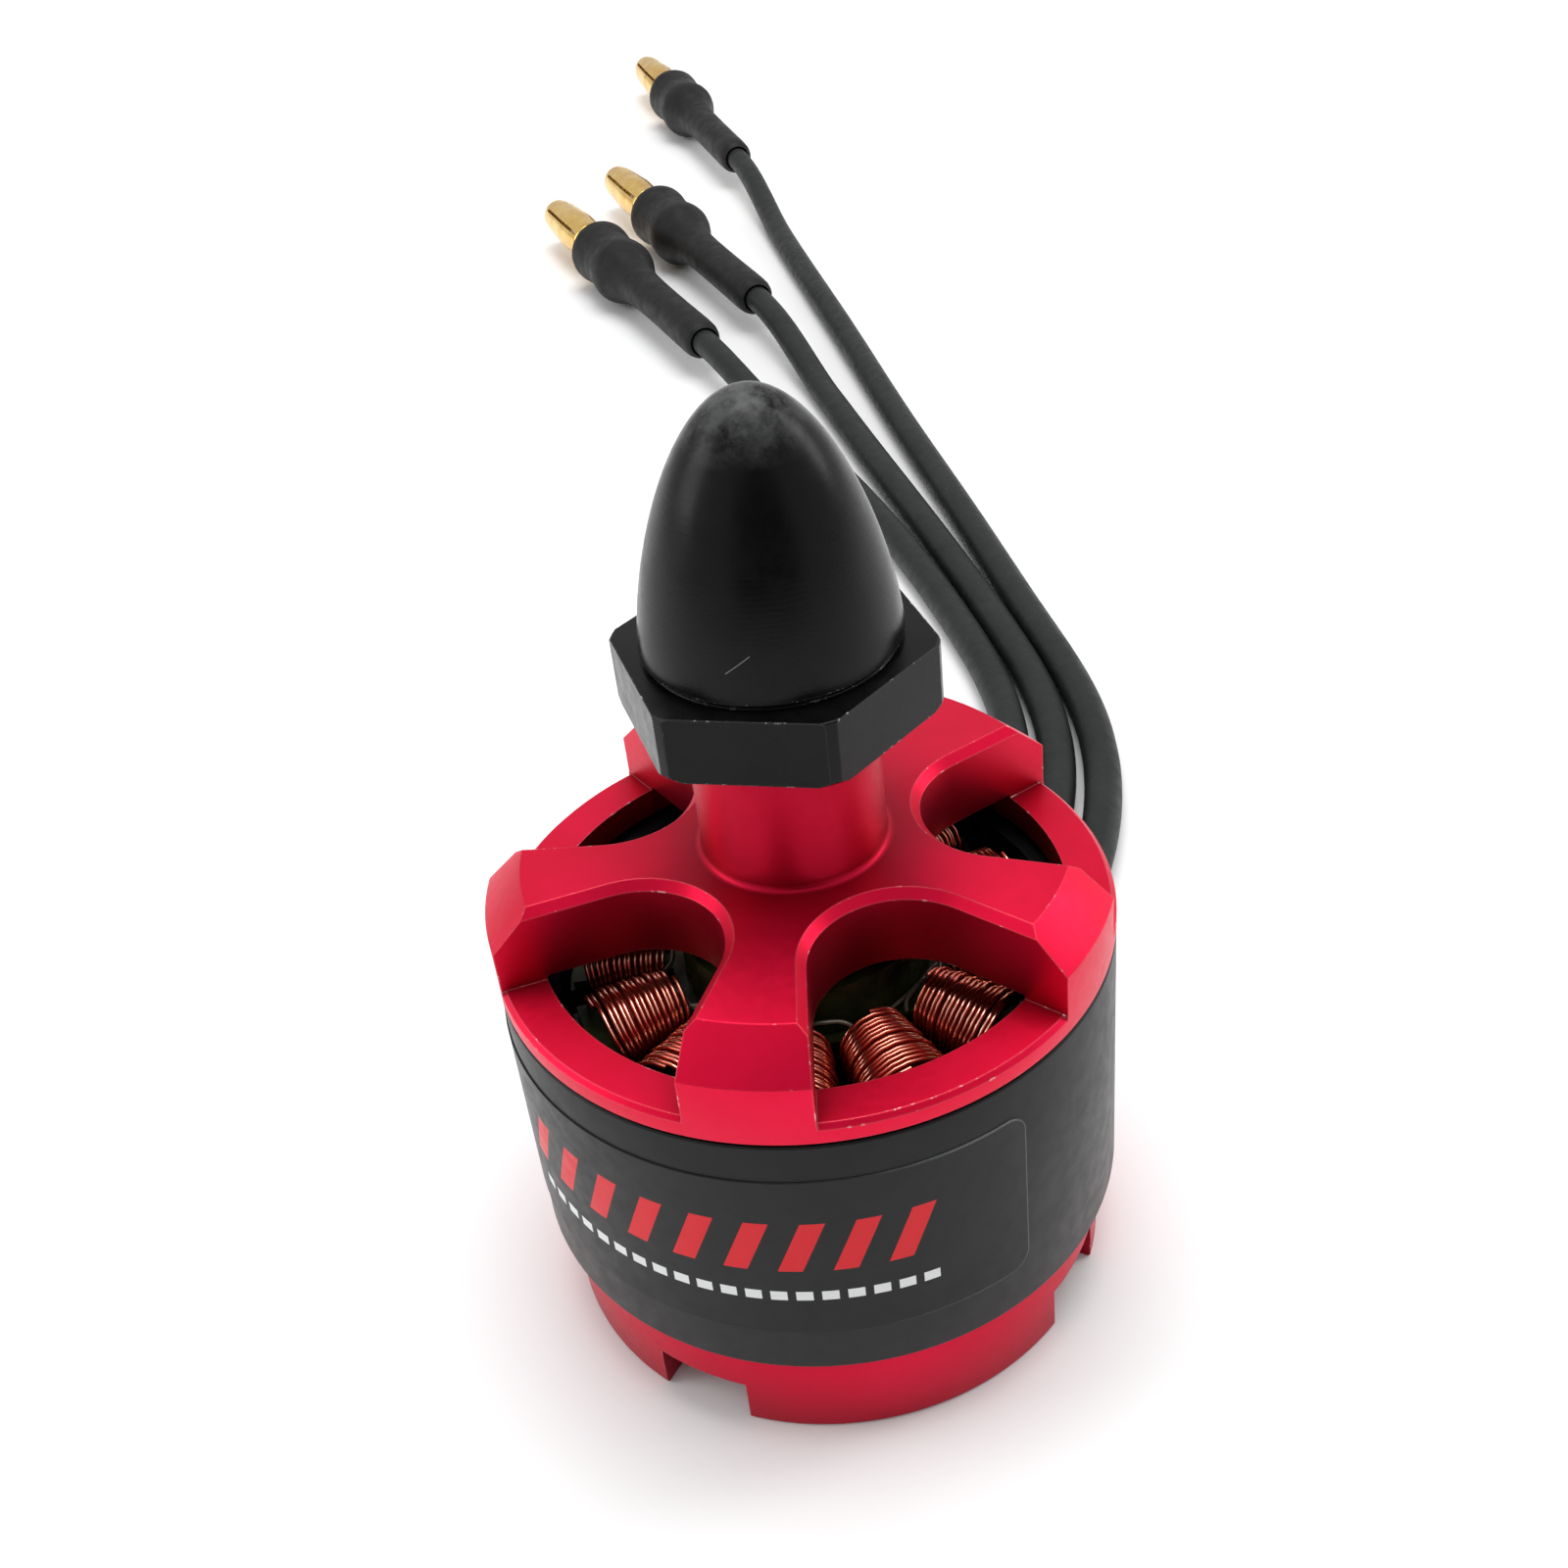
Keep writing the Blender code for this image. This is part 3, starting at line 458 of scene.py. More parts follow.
def add_turned(bm, profile, steps, place=Matrix()):
    """A closed outline of (radius, height) points turned once round Z."""
    rings = []
    for radius, height in profile:
        if radius == 0:
            ring = [place @ Vector((0, 0, height))]
        else:
            ring = [place @ polar(radius, 360 * step / steps, height) for step in range(steps)]
        rings.append([bm.verts.new(point) for point in ring])
    for ring, following in zip(rings, rings[1:] + rings[:1]):
        for step in range(steps):
            near, far = step, (step + 1) % steps
            corners = [
                ring[near % len(ring)],
                following[near % len(following)],
                following[far % len(following)],
                ring[far % len(ring)],
            ]
            corners = list(dict.fromkeys(corners))
            if len(corners) > 2:
                bm.faces.new(corners)


def add_loft(bm, loops, closed=False):
    """Joins loops of equally many points, back to the first if closed, else with end caps."""
    rows = [[bm.verts.new(point) for point in loop] for loop in loops]
    count = len(rows[0])
    for row, following in zip(rows, rows[1:] + rows[:1] if closed else rows[1:]):
        for index in range(count):
            after = (index + 1) % count
            bm.faces.new((row[index], row[after], following[after], following[index]))
    if not closed:
        bm.faces.new(rows[0])
        bm.faces.new(rows[-1])


def level(outline, height):
    return [Vector((point.x, point.y, height)) for point in outline]


def rounded(corners, parts=4):
    """An outline whose corners (radius, height, rounding) are turned into small arcs."""
    outline = []
    count = len(corners)
    for index, (x, y, size) in enumerate(corners):
        here = Vector((x, y))
        if not size:
            outline.append((x, y))
            continue
        back = Vector(corners[index - 1][:2]) - here
        ahead = Vector(corners[(index + 1) % count][:2]) - here
        half = back.angle(ahead) / 2
        reach = size / math.tan(half)
        start = here + back.normalized() * reach
        end = here + ahead.normalized() * reach
        centre = here + (back.normalized() + ahead.normalized()).normalized() * size / math.sin(half)
        first, last = start - centre, end - centre
        sweep = first.angle_signed(last)
        for part in range(parts + 1):
            turned_by = Matrix.Rotation(-sweep * part / parts, 2)
            point = centre + turned_by @ first
            outline.append((max(point.x, 0.0), point.y))
    return outline


def placed(name, data):
    made = bpy.data.objects.new(name, data)
    bpy.context.scene.collection.objects.link(made)
    return made


def mesh_object(name, bm, material=None, sharp=32):
    bmesh.ops.recalc_face_normals(bm, faces=bm.faces)
    mesh = bpy.data.meshes.new(name)
    bm.to_mesh(mesh)
    bm.free()
    mesh.shade_smooth()
    mesh.set_sharp_from_angle(angle=math.radians(sharp))
    if material:
        mesh.materials.append(material)
    return placed(name, mesh)


def turned(name, profile, steps, material=None, place=Matrix()):
    bm = bmesh.new()
    add_turned(bm, profile, steps, place)
    return mesh_object(name, bm, material)


def lofted(name, loops, material=None):
    bm = bmesh.new()
    add_loft(bm, loops)
    return mesh_object(name, bm, material)


def radial_box(name, degrees, inner, outer, half_width, low, high):
    turn = turn_to(degrees)
    corners = [(inner, -half_width), (outer, -half_width), (outer, half_width), (inner, half_width)]
    outline = [turn @ Vector((x, y, 0)) for x, y in corners]
    return lofted(name, [level(outline, low), level(outline, high)])


def apply_modifiers(target):
    """Makes the modified mesh the object's own."""
    graph = bpy.context.evaluated_depsgraph_get()
    mesh = bpy.data.meshes.new_from_object(target.evaluated_get(graph))
    target.modifiers.clear()
    target.data = mesh


def combine(target, others, operation, sharp=32):
    """Cuts, joins or keeps the common volume with each of the other objects, which are used up."""
    for other in others:
        boolean = target.modifiers.new(other.name, "BOOLEAN")
        boolean.operation = operation
        boolean.solver = "EXACT"
        boolean.object = other
    apply_modifiers(target)
    for other in others:
        bpy.data.objects.remove(other)
    target.data.shade_smooth()
    target.data.set_sharp_from_angle(angle=math.radians(sharp))
    return target


def new_wires(name, radius, rounding, finish):
    """An object for round wires, which add_wire puts into it."""
    curve = bpy.data.curves.new(name, "CURVE")
    curve.dimensions = "3D"
    curve.bevel_depth = radius
    curve.bevel_resolution = rounding
    curve.use_fill_caps = True
    curve.materials.append(finish)
    return placed(name, curve)


def add_wire(wires, points):
    spline = wires.data.splines.new("POLY")
    spline.use_smooth = True
    spline.points.add(len(points) - 1)
    for point, place in zip(spline.points, points):
        point.co = (*place, 1)


def show(piece, body, slot, *nodes):
    """The piece rides on a body and stands for the CAD nodes it names. The slot is not used."""
    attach(piece, body)
    if nodes:
        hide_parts(*nodes)
    return piece


# Camera


def make_camera():
    """Close and steep: the lens is 82 mm from the point that it looks at, half way up the motor."""
    elevation, roll = math.radians(36.03), math.radians(-6.56)
    target, distance = Vector((0, 0, 26.6 * MM)), 81.9 * MM
    back = Vector((0, -math.cos(elevation), math.sin(elevation)))
    across = Vector((1, 0, 0))
    up = back.cross(across)
    right = across * math.cos(roll) + up * math.sin(roll)
    top = up * math.cos(roll) - across * math.sin(roll)
    lens = bpy.data.cameras.new("camera")
    lens.sensor_width = 36
    lens.lens = 43.85
    lens.shift_x = -0.0033
    lens.shift_y = 0.0023
    lens.clip_start = 0.002
    lens.clip_end = 20
    camera = placed("camera", lens)
    turn = Matrix((right, top, back)).transposed().to_4x4()
    camera.matrix_world = Matrix.Translation(target + back * distance) @ turn
    bpy.context.scene.camera = camera


# Leads

# In millimetres: the place of each lead across the cable slot, the points on the table that it
# passes from the base outwards, and where its sleeve starts and its plug ends.
LEAD_ROUTES = {
    "u": {
        "side": -2.55,
        "table": [(14.4, 17.0), (18.8, 26.5), (20.6, 38.0), (19.0, 52.0), (16.6, 67.5), (13.4, 87.0),
                  (10.0, 110.0), (6.4, 133.0)],
        "mouth": (2.4, 156.4),
        "tip": (-8.2, 199.1),
    },
    "v": {
        "side": 0.0,
        "table": [(11.9, 18.4), (16.0, 27.6), (17.9, 38.0), (16.4, 52.0), (13.0, 68.7), (9.2, 86.0)],
        "mouth": (2.4, 113.3),
        "tip": (-12.0, 154.8),
    },
    "w": {
        "side": 2.55,
        "table": [(9.4, 19.8), (13.2, 28.7), (15.1, 38.5), (13.8, 52.0), (10.0, 68.5), (4.6, 85.0)],
        "mouth": (-3.1, 104.1),
        "tip": (-18.6, 145.5),
    },
}
LEAD_HEIGHT = LEAD_DIAMETER / 2 + 0.05 * MM
SLEEVE_RADIUS = 3.4 * MM
CONNECTOR_HEIGHT = SLEEVE_RADIUS + 0.05 * MM
PIN_LENGTH = 14.3 * MM
CUP_LENGTH = 8.2 * MM


def clamped_spline(points, first_direction, last_direction):
    """Cubic pieces through the points, smooth to the curvature, leaving along set directions."""
    points = np.array(points)
    steps = np.linalg.norm(np.diff(points, axis=0), axis=1)
    count = len(points)
    matrix = np.zeros((count, count))
    right = np.zeros((count, 3))
    matrix[0, 0] = matrix[-1, -1] = 1
    right[0], right[-1] = first_direction, last_direction
    for index in range(1, count - 1):
        before, after = steps[index - 1], steps[index]
        matrix[index, index - 1 : index + 2] = after, 2 * (before + after), before
        rise_before = (points[index] - points[index - 1]) / before
        rise_after = (points[index + 1] - points[index]) / after
        right[index] = 3 * (after * rise_before + before * rise_after)
    slopes = np.linalg.solve(matrix, right)
    dense = []
    for index, step in enumerate(steps):
        share = np.linspace(0, 1, 40, endpoint=False)[:, None]
        near = 2 * share**3 - 3 * share**2 + 1
        leave = share**3 - 2 * share**2 + share
        arrive = share**3 - share**2
        dense.append(
            near * points[index]
            + (1 - near) * points[index + 1]
            + step * (leave * slopes[index] + arrive * slopes[index + 1])
        )
    return np.vstack(dense + [points[-1:]])


def even_points(curve, spacing):
    """Points along a dense curve, at equal distances."""
    runs = np.concatenate([[0], np.cumsum(np.linalg.norm(np.diff(curve, axis=0), axis=1))])
    stations = np.linspace(0, runs[-1], round(runs[-1] / spacing) + 1)
    return np.stack([np.interp(stations, runs, curve[:, axis]) for axis in range(3)], axis=1)


def ease(share):
    share = min(max(share, 0.0), 1.0)
    return share * share * (3 - 2 * share)


def connector_frame(route):
    ends = (route["mouth"], route["tip"])
    mouth, tip = (Vector((x * MM, y * MM, CONNECTOR_HEIGHT)) for x, y in ends)
    return mouth, tip, (tip - mouth).normalized()


def lead_path(route):
    """From the well in the base, out through the cable slot, over the table and into the sleeve."""
    turn = turn_to(CABLE_ANGLE)
    in_slot = (9.2, 10.6, 12.4, 14.2)
    points = [turn @ Vector((along * MM, route["side"] * MM, 0)) for along in in_slot]
    points += [Vector((x * MM, y * MM, 0)) for x, y in route["table"]]
    mouth, _, along = connector_frame(route)
    points.append(Vector((mouth.x, mouth.y, 0)))
    outwards = turn @ Vector((1, 0, 0))
    path = even_points(clamped_spline(points, outwards, along), 1 * MM)
    start_height, drop_run, rise_run = 1.6 * MM, 4.5 * MM, 20 * MM
    for place in path:
        gone = np.linalg.norm(place - path[0])
        left = np.linalg.norm(place - path[-1])
        drop = (start_height - LEAD_HEIGHT) * (1 - ease(gone / drop_run))
        rise = (CONNECTOR_HEIGHT - LEAD_HEIGHT) * (1 - ease(left / rise_run))
        place[2] = LEAD_HEIGHT + drop + rise
    in_sleeve = [mouth + along * step * 6 * MM for step in (1, 2, 3, 4)]
    return [Vector(place) for place in path] + in_sleeve


def make_sleeve(letter, place, length, finish):
    """Heat-shrink that hugs the plug's cup, necks down behind it and grips the wire."""
    pin_start = length - PIN_LENGTH
    cup_start = pin_start - CUP_LENGTH
    thin, bore = 1.95 * MM, LEAD_DIAMETER / 2 - 0.15 * MM
    over_cup, over_pin = 2.88 * MM, 2.25 * MM
    profile = [
        (bore, 0.0),
        (thin - 0.55 * MM, 0.0),
        (thin - 0.12 * MM, 0.5 * MM),
        (thin, 1.3 * MM),
        (thin - 0.08 * MM, cup_start * 0.35),
        (thin - 0.02 * MM, cup_start * 0.7),
        (thin + 0.1 * MM, cup_start - 4.2 * MM),
        (thin + 0.45 * MM, cup_start - 2.6 * MM),
        (SLEEVE_RADIUS - 0.35 * MM, cup_start - 0.9 * MM),
        (SLEEVE_RADIUS, cup_start + 0.2 * MM),
        (SLEEVE_RADIUS - 0.15 * MM, cup_start + 1.4 * MM),
        (SLEEVE_RADIUS - 0.42 * MM, cup_start + 3.4 * MM),
        (SLEEVE_RADIUS - 0.32 * MM, cup_start + 5.2 * MM),
        (SLEEVE_RADIUS - 0.08 * MM, pin_start - 1.3 * MM),
        (SLEEVE_RADIUS - 0.12 * MM, pin_start - 0.7 * MM),
        (SLEEVE_RADIUS - 0.55 * MM, pin_start),
        (over_pin, pin_start + 0.05 * MM),
        (over_pin, pin_start - 0.3 * MM),
        (over_cup, pin_start - 0.35 * MM),
        (over_cup, cup_start - 0.5 * MM),
        (bore, cup_start - 2.6 * MM),
    ]
    bm = bmesh.new()
    add_turned(bm, profile, 40, place)
    axis_start = place.translation
    side, _, axis = (column.normalized() for column in place.to_3x3().col)
    chance = random.Random("sleeve" + letter)
    waves = [(chance.uniform(700, 1500), chance.uniform(0, 6), chance.randint(2, 5)) for _ in range(4)]
    wrinkle_mm = 0.07
    for corner in bm.verts:
        along = (corner.co - axis_start).dot(axis)
        out = corner.co - axis_start - axis * along
        if out.length < thin - 0.3 * MM:
            continue
        around = math.atan2(out.dot(axis.cross(side)), out.dot(side))
        swell = sum(math.sin(rate * along + start + lobes * around) for rate, start, lobes in waves)
        corner.co -= out.normalized() * (0.5 + swell / 8) * wrinkle_mm * MM
    sleeve = mesh_object(f"sleeve_{letter}", bm, finish, sharp=50)
    smooth = sleeve.modifiers.new("smooth", "SUBSURF")
    smooth.levels = smooth.render_levels = 1
    return show(sleeve, "stator", "heat_shrink", f"shrink_sleeve_{letter}")


def make_plug(letter, place, length, finish):
    """A 4 mm bullet plug: solder cup, collar, and a slotted spring pin with a round nose."""
    pin_start = length - PIN_LENGTH
    cup_start = pin_start - CUP_LENGTH
    pin, cup, cup_bore, cup_depth = 2.0 * MM, 2.75 * MM, 1.6 * MM, 5.5 * MM
    corners = [
        (0, cup_start + cup_depth, 0),
        (cup_bore, cup_start + cup_depth, 0),
        (cup_bore, cup_start, 0),
        (cup, cup_start, 0.1 * MM),
        (cup, pin_start - 0.6 * MM, 0.15 * MM),
        (pin, pin_start - 0.6 * MM, 0),
        (pin, pin_start + 0.9 * MM, 0.1 * MM),
        (pin - 0.3 * MM, pin_start + 1.2 * MM, 0.1 * MM),
        (pin - 0.3 * MM, pin_start + 1.9 * MM, 0.1 * MM),
        (pin - 0.05 * MM, pin_start + 2.4 * MM, 0.4 * MM),
        (pin + 0.15 * MM, pin_start + 6.4 * MM, 12 * MM),
        (pin - 0.12 * MM, length - 2.9 * MM, 2 * MM),
        (pin - 0.32 * MM, length - 1.3 * MM, 1.0 * MM),
        (pin - 1.0 * MM, length - 0.15 * MM, 0.9 * MM),
        (0, length, 0),
    ]
    plug = turned(f"plug_{letter}", rounded(corners, 6), 48, finish, place)
    reach, half = 3 * MM, 0.16 * MM
    across = [(-reach, -half), (reach, -half), (reach, half), (-reach, half)]
    low, high = pin_start + 2.7 * MM, length - 2.2 * MM
    slots = []
    for index in range(2):
        turn = turn_to(40 + 90 * index)
        loops = [[place @ (turn @ Vector((x, y, z))) for x, y in across] for z in (low, high)]
        slots.append(lofted(f"slot_{letter}_{index}", loops))
    combine(plug, slots, "DIFFERENCE")
    return show(plug, "stator", "gold_plating", f"bullet_plug_{letter}")


def make_lead(letter, route, finishes):
    path = lead_path(route)
    lead = new_wires(f"phase_lead_{letter}", LEAD_DIAMETER / 2, 6, finishes["lead"])
    add_wire(lead, path)
    show(lead, "stator", "lead_insulation", f"lead_{letter}")

    mouth, tip, along = connector_frame(route)
    place = Matrix.Translation(mouth) @ along.to_track_quat("Z", "X").to_matrix().to_4x4()
    length = (tip - mouth).length
    sleeve = make_sleeve(letter, place, length, finishes["sleeve"])
    plug = make_plug(letter, place, length, finishes["gold"])


# Rotor


def window_outlines(offset, steps=40):
    """The bell's windows from above: a round inner end and two straight sides that open outwards."""
    centre, radius, slope, reach = 9.5 * MM, 3.85 * MM + offset, math.radians(26), 7.5 * MM
    arc = []
    for step in range(steps + 1):
        angle = math.pi / 2 + slope + (math.pi - 2 * slope) * step / steps
        arc.append(Vector((centre + radius * math.cos(angle), radius * math.sin(angle), 0)))
    run = Vector((math.cos(slope), math.sin(slope), 0)) * reach
    outline = [arc[0] + run] + arc + [arc[-1] + Vector((run.x, -run.y, 0))]
    apart = 360 / SPOKES
    turns = [turn_to(FIRST_SPOKE + apart / 2 + apart * window) for window in range(SPOKES)]
    return [[turn @ point for point in outline] for turn in turns]


def make_rim_chamfer():
    """The ring-shaped cutter that breaks the rim's outer edge, only between the spokes."""
    size, spare, clear = 0.22 * MM, 0.6 * MM, 0.03 * MM
    ring = [
        (CAN_RADIUS - size - spare, RIM_TOP + spare),
        (CAN_RADIUS + spare, RIM_TOP - size - spare),
        (CAN_RADIUS + spare, RIM_TOP + spare),
    ]
    cutter = turned("rim_chamfer", ring, FINE_STEPS)
    windows = bmesh.new()
    for outline in window_outlines(-clear):
        add_loft(windows, [level(outline, RIM_TOP - 1.5 * MM), level(outline, RIM_TOP + 1.5 * MM)])
    return combine(cutter, [mesh_object("rim_gaps", windows)], "INTERSECT")


def make_bell(finish):
    """The top of the can: rim, five spokes and post, with a chamfer round each window."""
    bore_top, stub_root = 29.5 * MM, 2.5 * MM
    spigot_inner, spigot_outer = 11.84 * MM, 12.5 * MM
    shoulder_low, shoulder_inner = 22.38 * MM, 12.06 * MM
    corners = [
        (0, bore_top, 0),
        (SHAFT_BORE, bore_top, 0),
        (SHAFT_BORE, WEB_LOW, 0.1 * MM),
        (spigot_inner, WEB_LOW, 0.15 * MM),
        (spigot_inner, SPIGOT_LOW, 0.05 * MM),
        (spigot_outer, SPIGOT_LOW, 0.05 * MM),
        (spigot_outer, BELL_LOW, 0.03 * MM),
        (CAN_RADIUS, BELL_LOW, 0.08 * MM),
        (CAN_RADIUS, shoulder_low, 0.06 * MM),
        (shoulder_inner, BELL_TOP, 0.06 * MM),
        (POST_RADIUS, BELL_TOP, 0.32 * MM),
        (POST_RADIUS, POST_TOP, 0.12 * MM),
        (stub_root, POST_TOP, 0.05 * MM),
        (stub_root, STUB_TOP, 0.2 * MM),
        (0, STUB_TOP, 0),
    ]
    bell = turned("bell_body", rounded(corners), FINE_STEPS, finish)
    chamfer, above = 0.4 * MM, 0.83 * MM
    cutters = [make_rim_chamfer()]
    outlines = zip(window_outlines(0), window_outlines(chamfer + above))
    for index, (wall, flared) in enumerate(outlines):
        levels = [level(wall, RIM_TOP), level(wall, BELL_TOP - chamfer), level(flared, BELL_TOP + above)]
        cutters.append(lofted(f"window_{index}", levels))
    combine(bell, cutters, "DIFFERENCE", sharp=28)
    show(bell, "rotor", "red_anodised", "bell")


def make_thread(finish):
    """The stub's screw thread, 1 mm to a turn."""
    pitch, root, crest, steps = 1.0 * MM, 2.42 * MM, STUB_RADIUS, 48
    low, high = POST_TOP + 0.9 * MM, STUB_TOP - 0.35 * MM
    count = int((high - low - pitch) / pitch * steps)
    shape = [(root, -0.5), (crest, -0.08), (crest, 0.08), (root, 0.5)]
    run_out = steps * 0.4
    loops = []
    for step in range(count + 1):
        share = min(step, count - step) / run_out
        fade = root + (crest - root) * min(1.0, share)
        height = low + pitch * (0.5 + step / steps)
        reach = max(fade, root + 0.01 * MM)
        angle = 360 * step / steps
        loops.append([polar(min(radius, reach), angle, height + rise * pitch) for radius, rise in shape])
    show(lofted("stub_thread", loops, finish), "rotor", "red_anodised")


def make_ring(finish):
    inner = 12.6 * MM
    corners = [
        (inner, RING_LOW, 0.1 * MM),
        (CAN_RADIUS, RING_LOW, 0.16 * MM),
        (CAN_RADIUS, RING_HIGH, 0.12 * MM),
        (inner, RING_HIGH, 0.1 * MM),
    ]
    ring = turned("can_ring", rounded(corners), FINE_STEPS, finish)
    show(ring, "rotor", "can_coating", "flux_ring")


def make_label(finish):
    """A film wrapped round the ring, with rounded corners and chamfered long edges."""
    inner, outer = CAN_RADIUS + 0.012 * MM, LABEL_RADIUS
    first, last, corner = -54.6, -268.0, 1.0 * MM
    columns, corner_columns = 240, 10
    length = math.radians(first - last) * outer
    middle, half = (LABEL_LOW + LABEL_HIGH) / 2, (LABEL_HIGH - LABEL_LOW) / 2
    turns = [math.pi / 2 * part / corner_columns for part in range(corner_columns)]
    stations = [corner * (1 - math.cos(angle)) for angle in turns]
    stations += [corner + (length - 2 * corner) * part / columns for part in range(columns + 1)]
    stations += [length - place for place in reversed(stations[:corner_columns])]
    loops = []
    for place in stations:
        edge = min(place, length - place)
        drop = 0 if edge >= corner else corner - math.sqrt(max(corner**2 - (corner - edge) ** 2, 0))
        angle = first - math.degrees(place / outer)
        reach = half - drop
        section = [(inner, -reach), (outer, -reach + 0.03 * MM), (outer, reach - 0.03 * MM), (inner, reach)]
        loops.append([polar(radius, angle, middle + rise) for radius, rise in section])
    show(lofted("label_film", loops, finish), "rotor", "label_film", "wrap_label")


# Propeller nut


def dome_radius(height):
    """The nut's bullet-shaped dome: almost upright at its base, round at its tip."""
    base, width = 34.47 * MM, 5.427 * MM
    share = min(1.0, max(0.0, (height - base) / (NUT_TIP - base)))
    return width * max(0.0, 1 - share**1.48) ** (1 / 1.941)


def make_nut(finish):
    bore, bore_top, cone_top = 3.0 * MM, 40.3 * MM, 41.5 * MM
    corner, hex_top = 6.85 * MM, 34.17 * MM
    groove, dome_low, dome_foot = 5.2 * MM, 34.5 * MM, 5.34 * MM
    corners = [
        (0, cone_top, 0),
        (bore, bore_top, 0),
        (bore, NUT_LOW + 0.4 * MM, 0),
        (bore + 0.4 * MM, NUT_LOW, 0),
        (corner - 0.2 * MM, NUT_LOW, 0.05 * MM),
        (corner, NUT_LOW + 0.2 * MM, 0.05 * MM),
        (corner, hex_top - 0.1 * MM, 0.04 * MM),
        (corner - 0.1 * MM, hex_top, 0.04 * MM),
        (groove, hex_top, 0.06 * MM),
        (groove, dome_low - 0.14 * MM, 0.04 * MM),
        (dome_foot, dome_low - 0.14 * MM, 0.04 * MM),
    ]
    profile = rounded(corners)
    levels = 44
    for index in range(levels):
        share = math.sin(math.pi / 2 * index / levels)
        height = dome_low + (NUT_TIP - dome_low) * share
        profile.append((dome_radius(height), height))
    profile.append((0, NUT_TIP))
    nut = turned("dome_nut", profile, FINE_STEPS, finish)
    low, high = NUT_LOW - 1 * MM, hex_top + 0.1 * MM
    flats = []
    for side in range(6):
        angle = NUT_CORNER + 30 + 60 * side
        flats.append(radial_box(f"flat_{side}", angle, NUT_FLATS / 2, 9 * MM, 5 * MM, low, high))
    combine(nut, flats, "DIFFERENCE", sharp=28)
    show(nut, "prop_nut", "nut_anodised", "prop_nut")


# Base


def make_base(finish):
    """The fixed foot and the bearing tube, with notches, a cable slot and four screw holes."""
    shelf, shelf_edge, tube, ledge, wall_inner = 4.3 * MM, 5.6 * MM, 5.0 * MM, 3.9 * MM, 11.7 * MM
    upper_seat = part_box("upper_bearing_outer_race")[0].z - 0.05 * MM
    lower_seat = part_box("lower_bearing_outer_race")[1].z + 0.05 * MM
    tube_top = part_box("mount_base")[1].z
    corners = [
        (BEARING_SEAT, 0, 0.12 * MM),
        (BASE_RADIUS, 0, 0.22 * MM),
        (BASE_RADIUS, BASE_TOP, 0.12 * MM),
        (wall_inner, BASE_TOP, 0.1 * MM),
        (wall_inner, FLOOR_TOP, 0.3 * MM),
        (shelf_edge, FLOOR_TOP, 0.3 * MM),
        (shelf_edge, shelf, 0.1 * MM),
        (tube, shelf, 0.05 * MM),
        (tube, tube_top, 0.1 * MM),
        (BEARING_SEAT, tube_top, 0.1 * MM),
        (BEARING_SEAT, upper_seat, 0.03 * MM),
        (ledge, upper_seat, 0.05 * MM),
        (ledge, lower_seat, 0.05 * MM),
        (BEARING_SEAT, lower_seat, 0.03 * MM),
    ]
    base = turned("base_body", rounded(corners), FINE_STEPS, finish)
    below, through, outside = -1 * MM, 4 * MM, 15 * MM
    cutters = []
    notch_start, notch_half = 6.4 * MM, 2.25 * MM
    for index in range(3):
        angle = CABLE_ANGLE + 90 * (index + 1)
        notch = radial_box(f"notch_{index}", angle, notch_start, outside, notch_half, below, NOTCH_HEIGHT)
        cutters.append(notch)
    half, start, well_end, slot_top = 3.95 * MM, 8.4 * MM, 10.9 * MM, 2.8 * MM
    cutters.append(radial_box("cable_slot", CABLE_ANGLE, start, outside, half, below, slot_top))
    cutters.append(radial_box("cable_well", CABLE_ANGLE, start, well_end, half, below, through))
    screw, circles = 1.6 * MM, (9.5 * MM, 8.0 * MM)
    for index in range(4):
        spot = Matrix.Translation(polar(circles[index % 2], FIRST_FOOT + 90 * index))
        hole = [(0, below), (screw, below), (screw, through), (0, through)]
        cutters.append(turned(f"screw_hole_{index}", hole, 40, place=spot))
    combine(base, cutters, "DIFFERENCE", sharp=28)
    show(base, "stator", "red_anodised", "mount_base")


# Windings

COIL_INNER = 6.62 * MM
COIL_OUTER = 9.48 * MM
WIRE_RADIUS = 0.104 * MM
TURNS = 15


def coil_section(share, half_width, low, high):
    """A point on one turn round a tooth: upright sides and round ends above and below."""
    corner = half_width * 0.98
    flat = half_width - corner
    side = high - low - 2 * corner
    arc = math.pi / 2 * corner
    lengths = [flat, arc, side, arc, 2 * flat, arc, side, arc, flat]
    left = share % 1.0 * sum(lengths)
    for index, length in enumerate(lengths):
        if left <= length:
            break
        left -= length
    top, bottom = high - corner, low + corner
    turned_by = left / corner
    if index == 0:
        return (left, high)
    if index == 1:
        return (flat + corner * math.sin(turned_by), top + corner * math.cos(turned_by))
    if index == 2:
        return (half_width, top - left)
    if index == 3:
        return (flat + corner * math.cos(turned_by), bottom - corner * math.sin(turned_by))
    if index == 4:
        return (flat - left, low)
    if index == 5:
        return (-flat - corner * math.sin(turned_by), bottom - corner * math.cos(turned_by))
    if index == 6:
        return (-half_width, bottom + left)
    if index == 7:
        return (-flat - corner * math.cos(turned_by), top + corner * math.sin(turned_by))
    return (-flat + left, high)


def coil_half_width(radius):
    """Half the width of a wound tooth, which grows outwards with its slots."""
    inner, outer = (6.5 * MM, 1.66 * MM), (9.6 * MM, 2.4 * MM)
    share = (radius - inner[0]) / (outer[0] - inner[0])
    return inner[1] + (outer[1] - inner[1]) * share


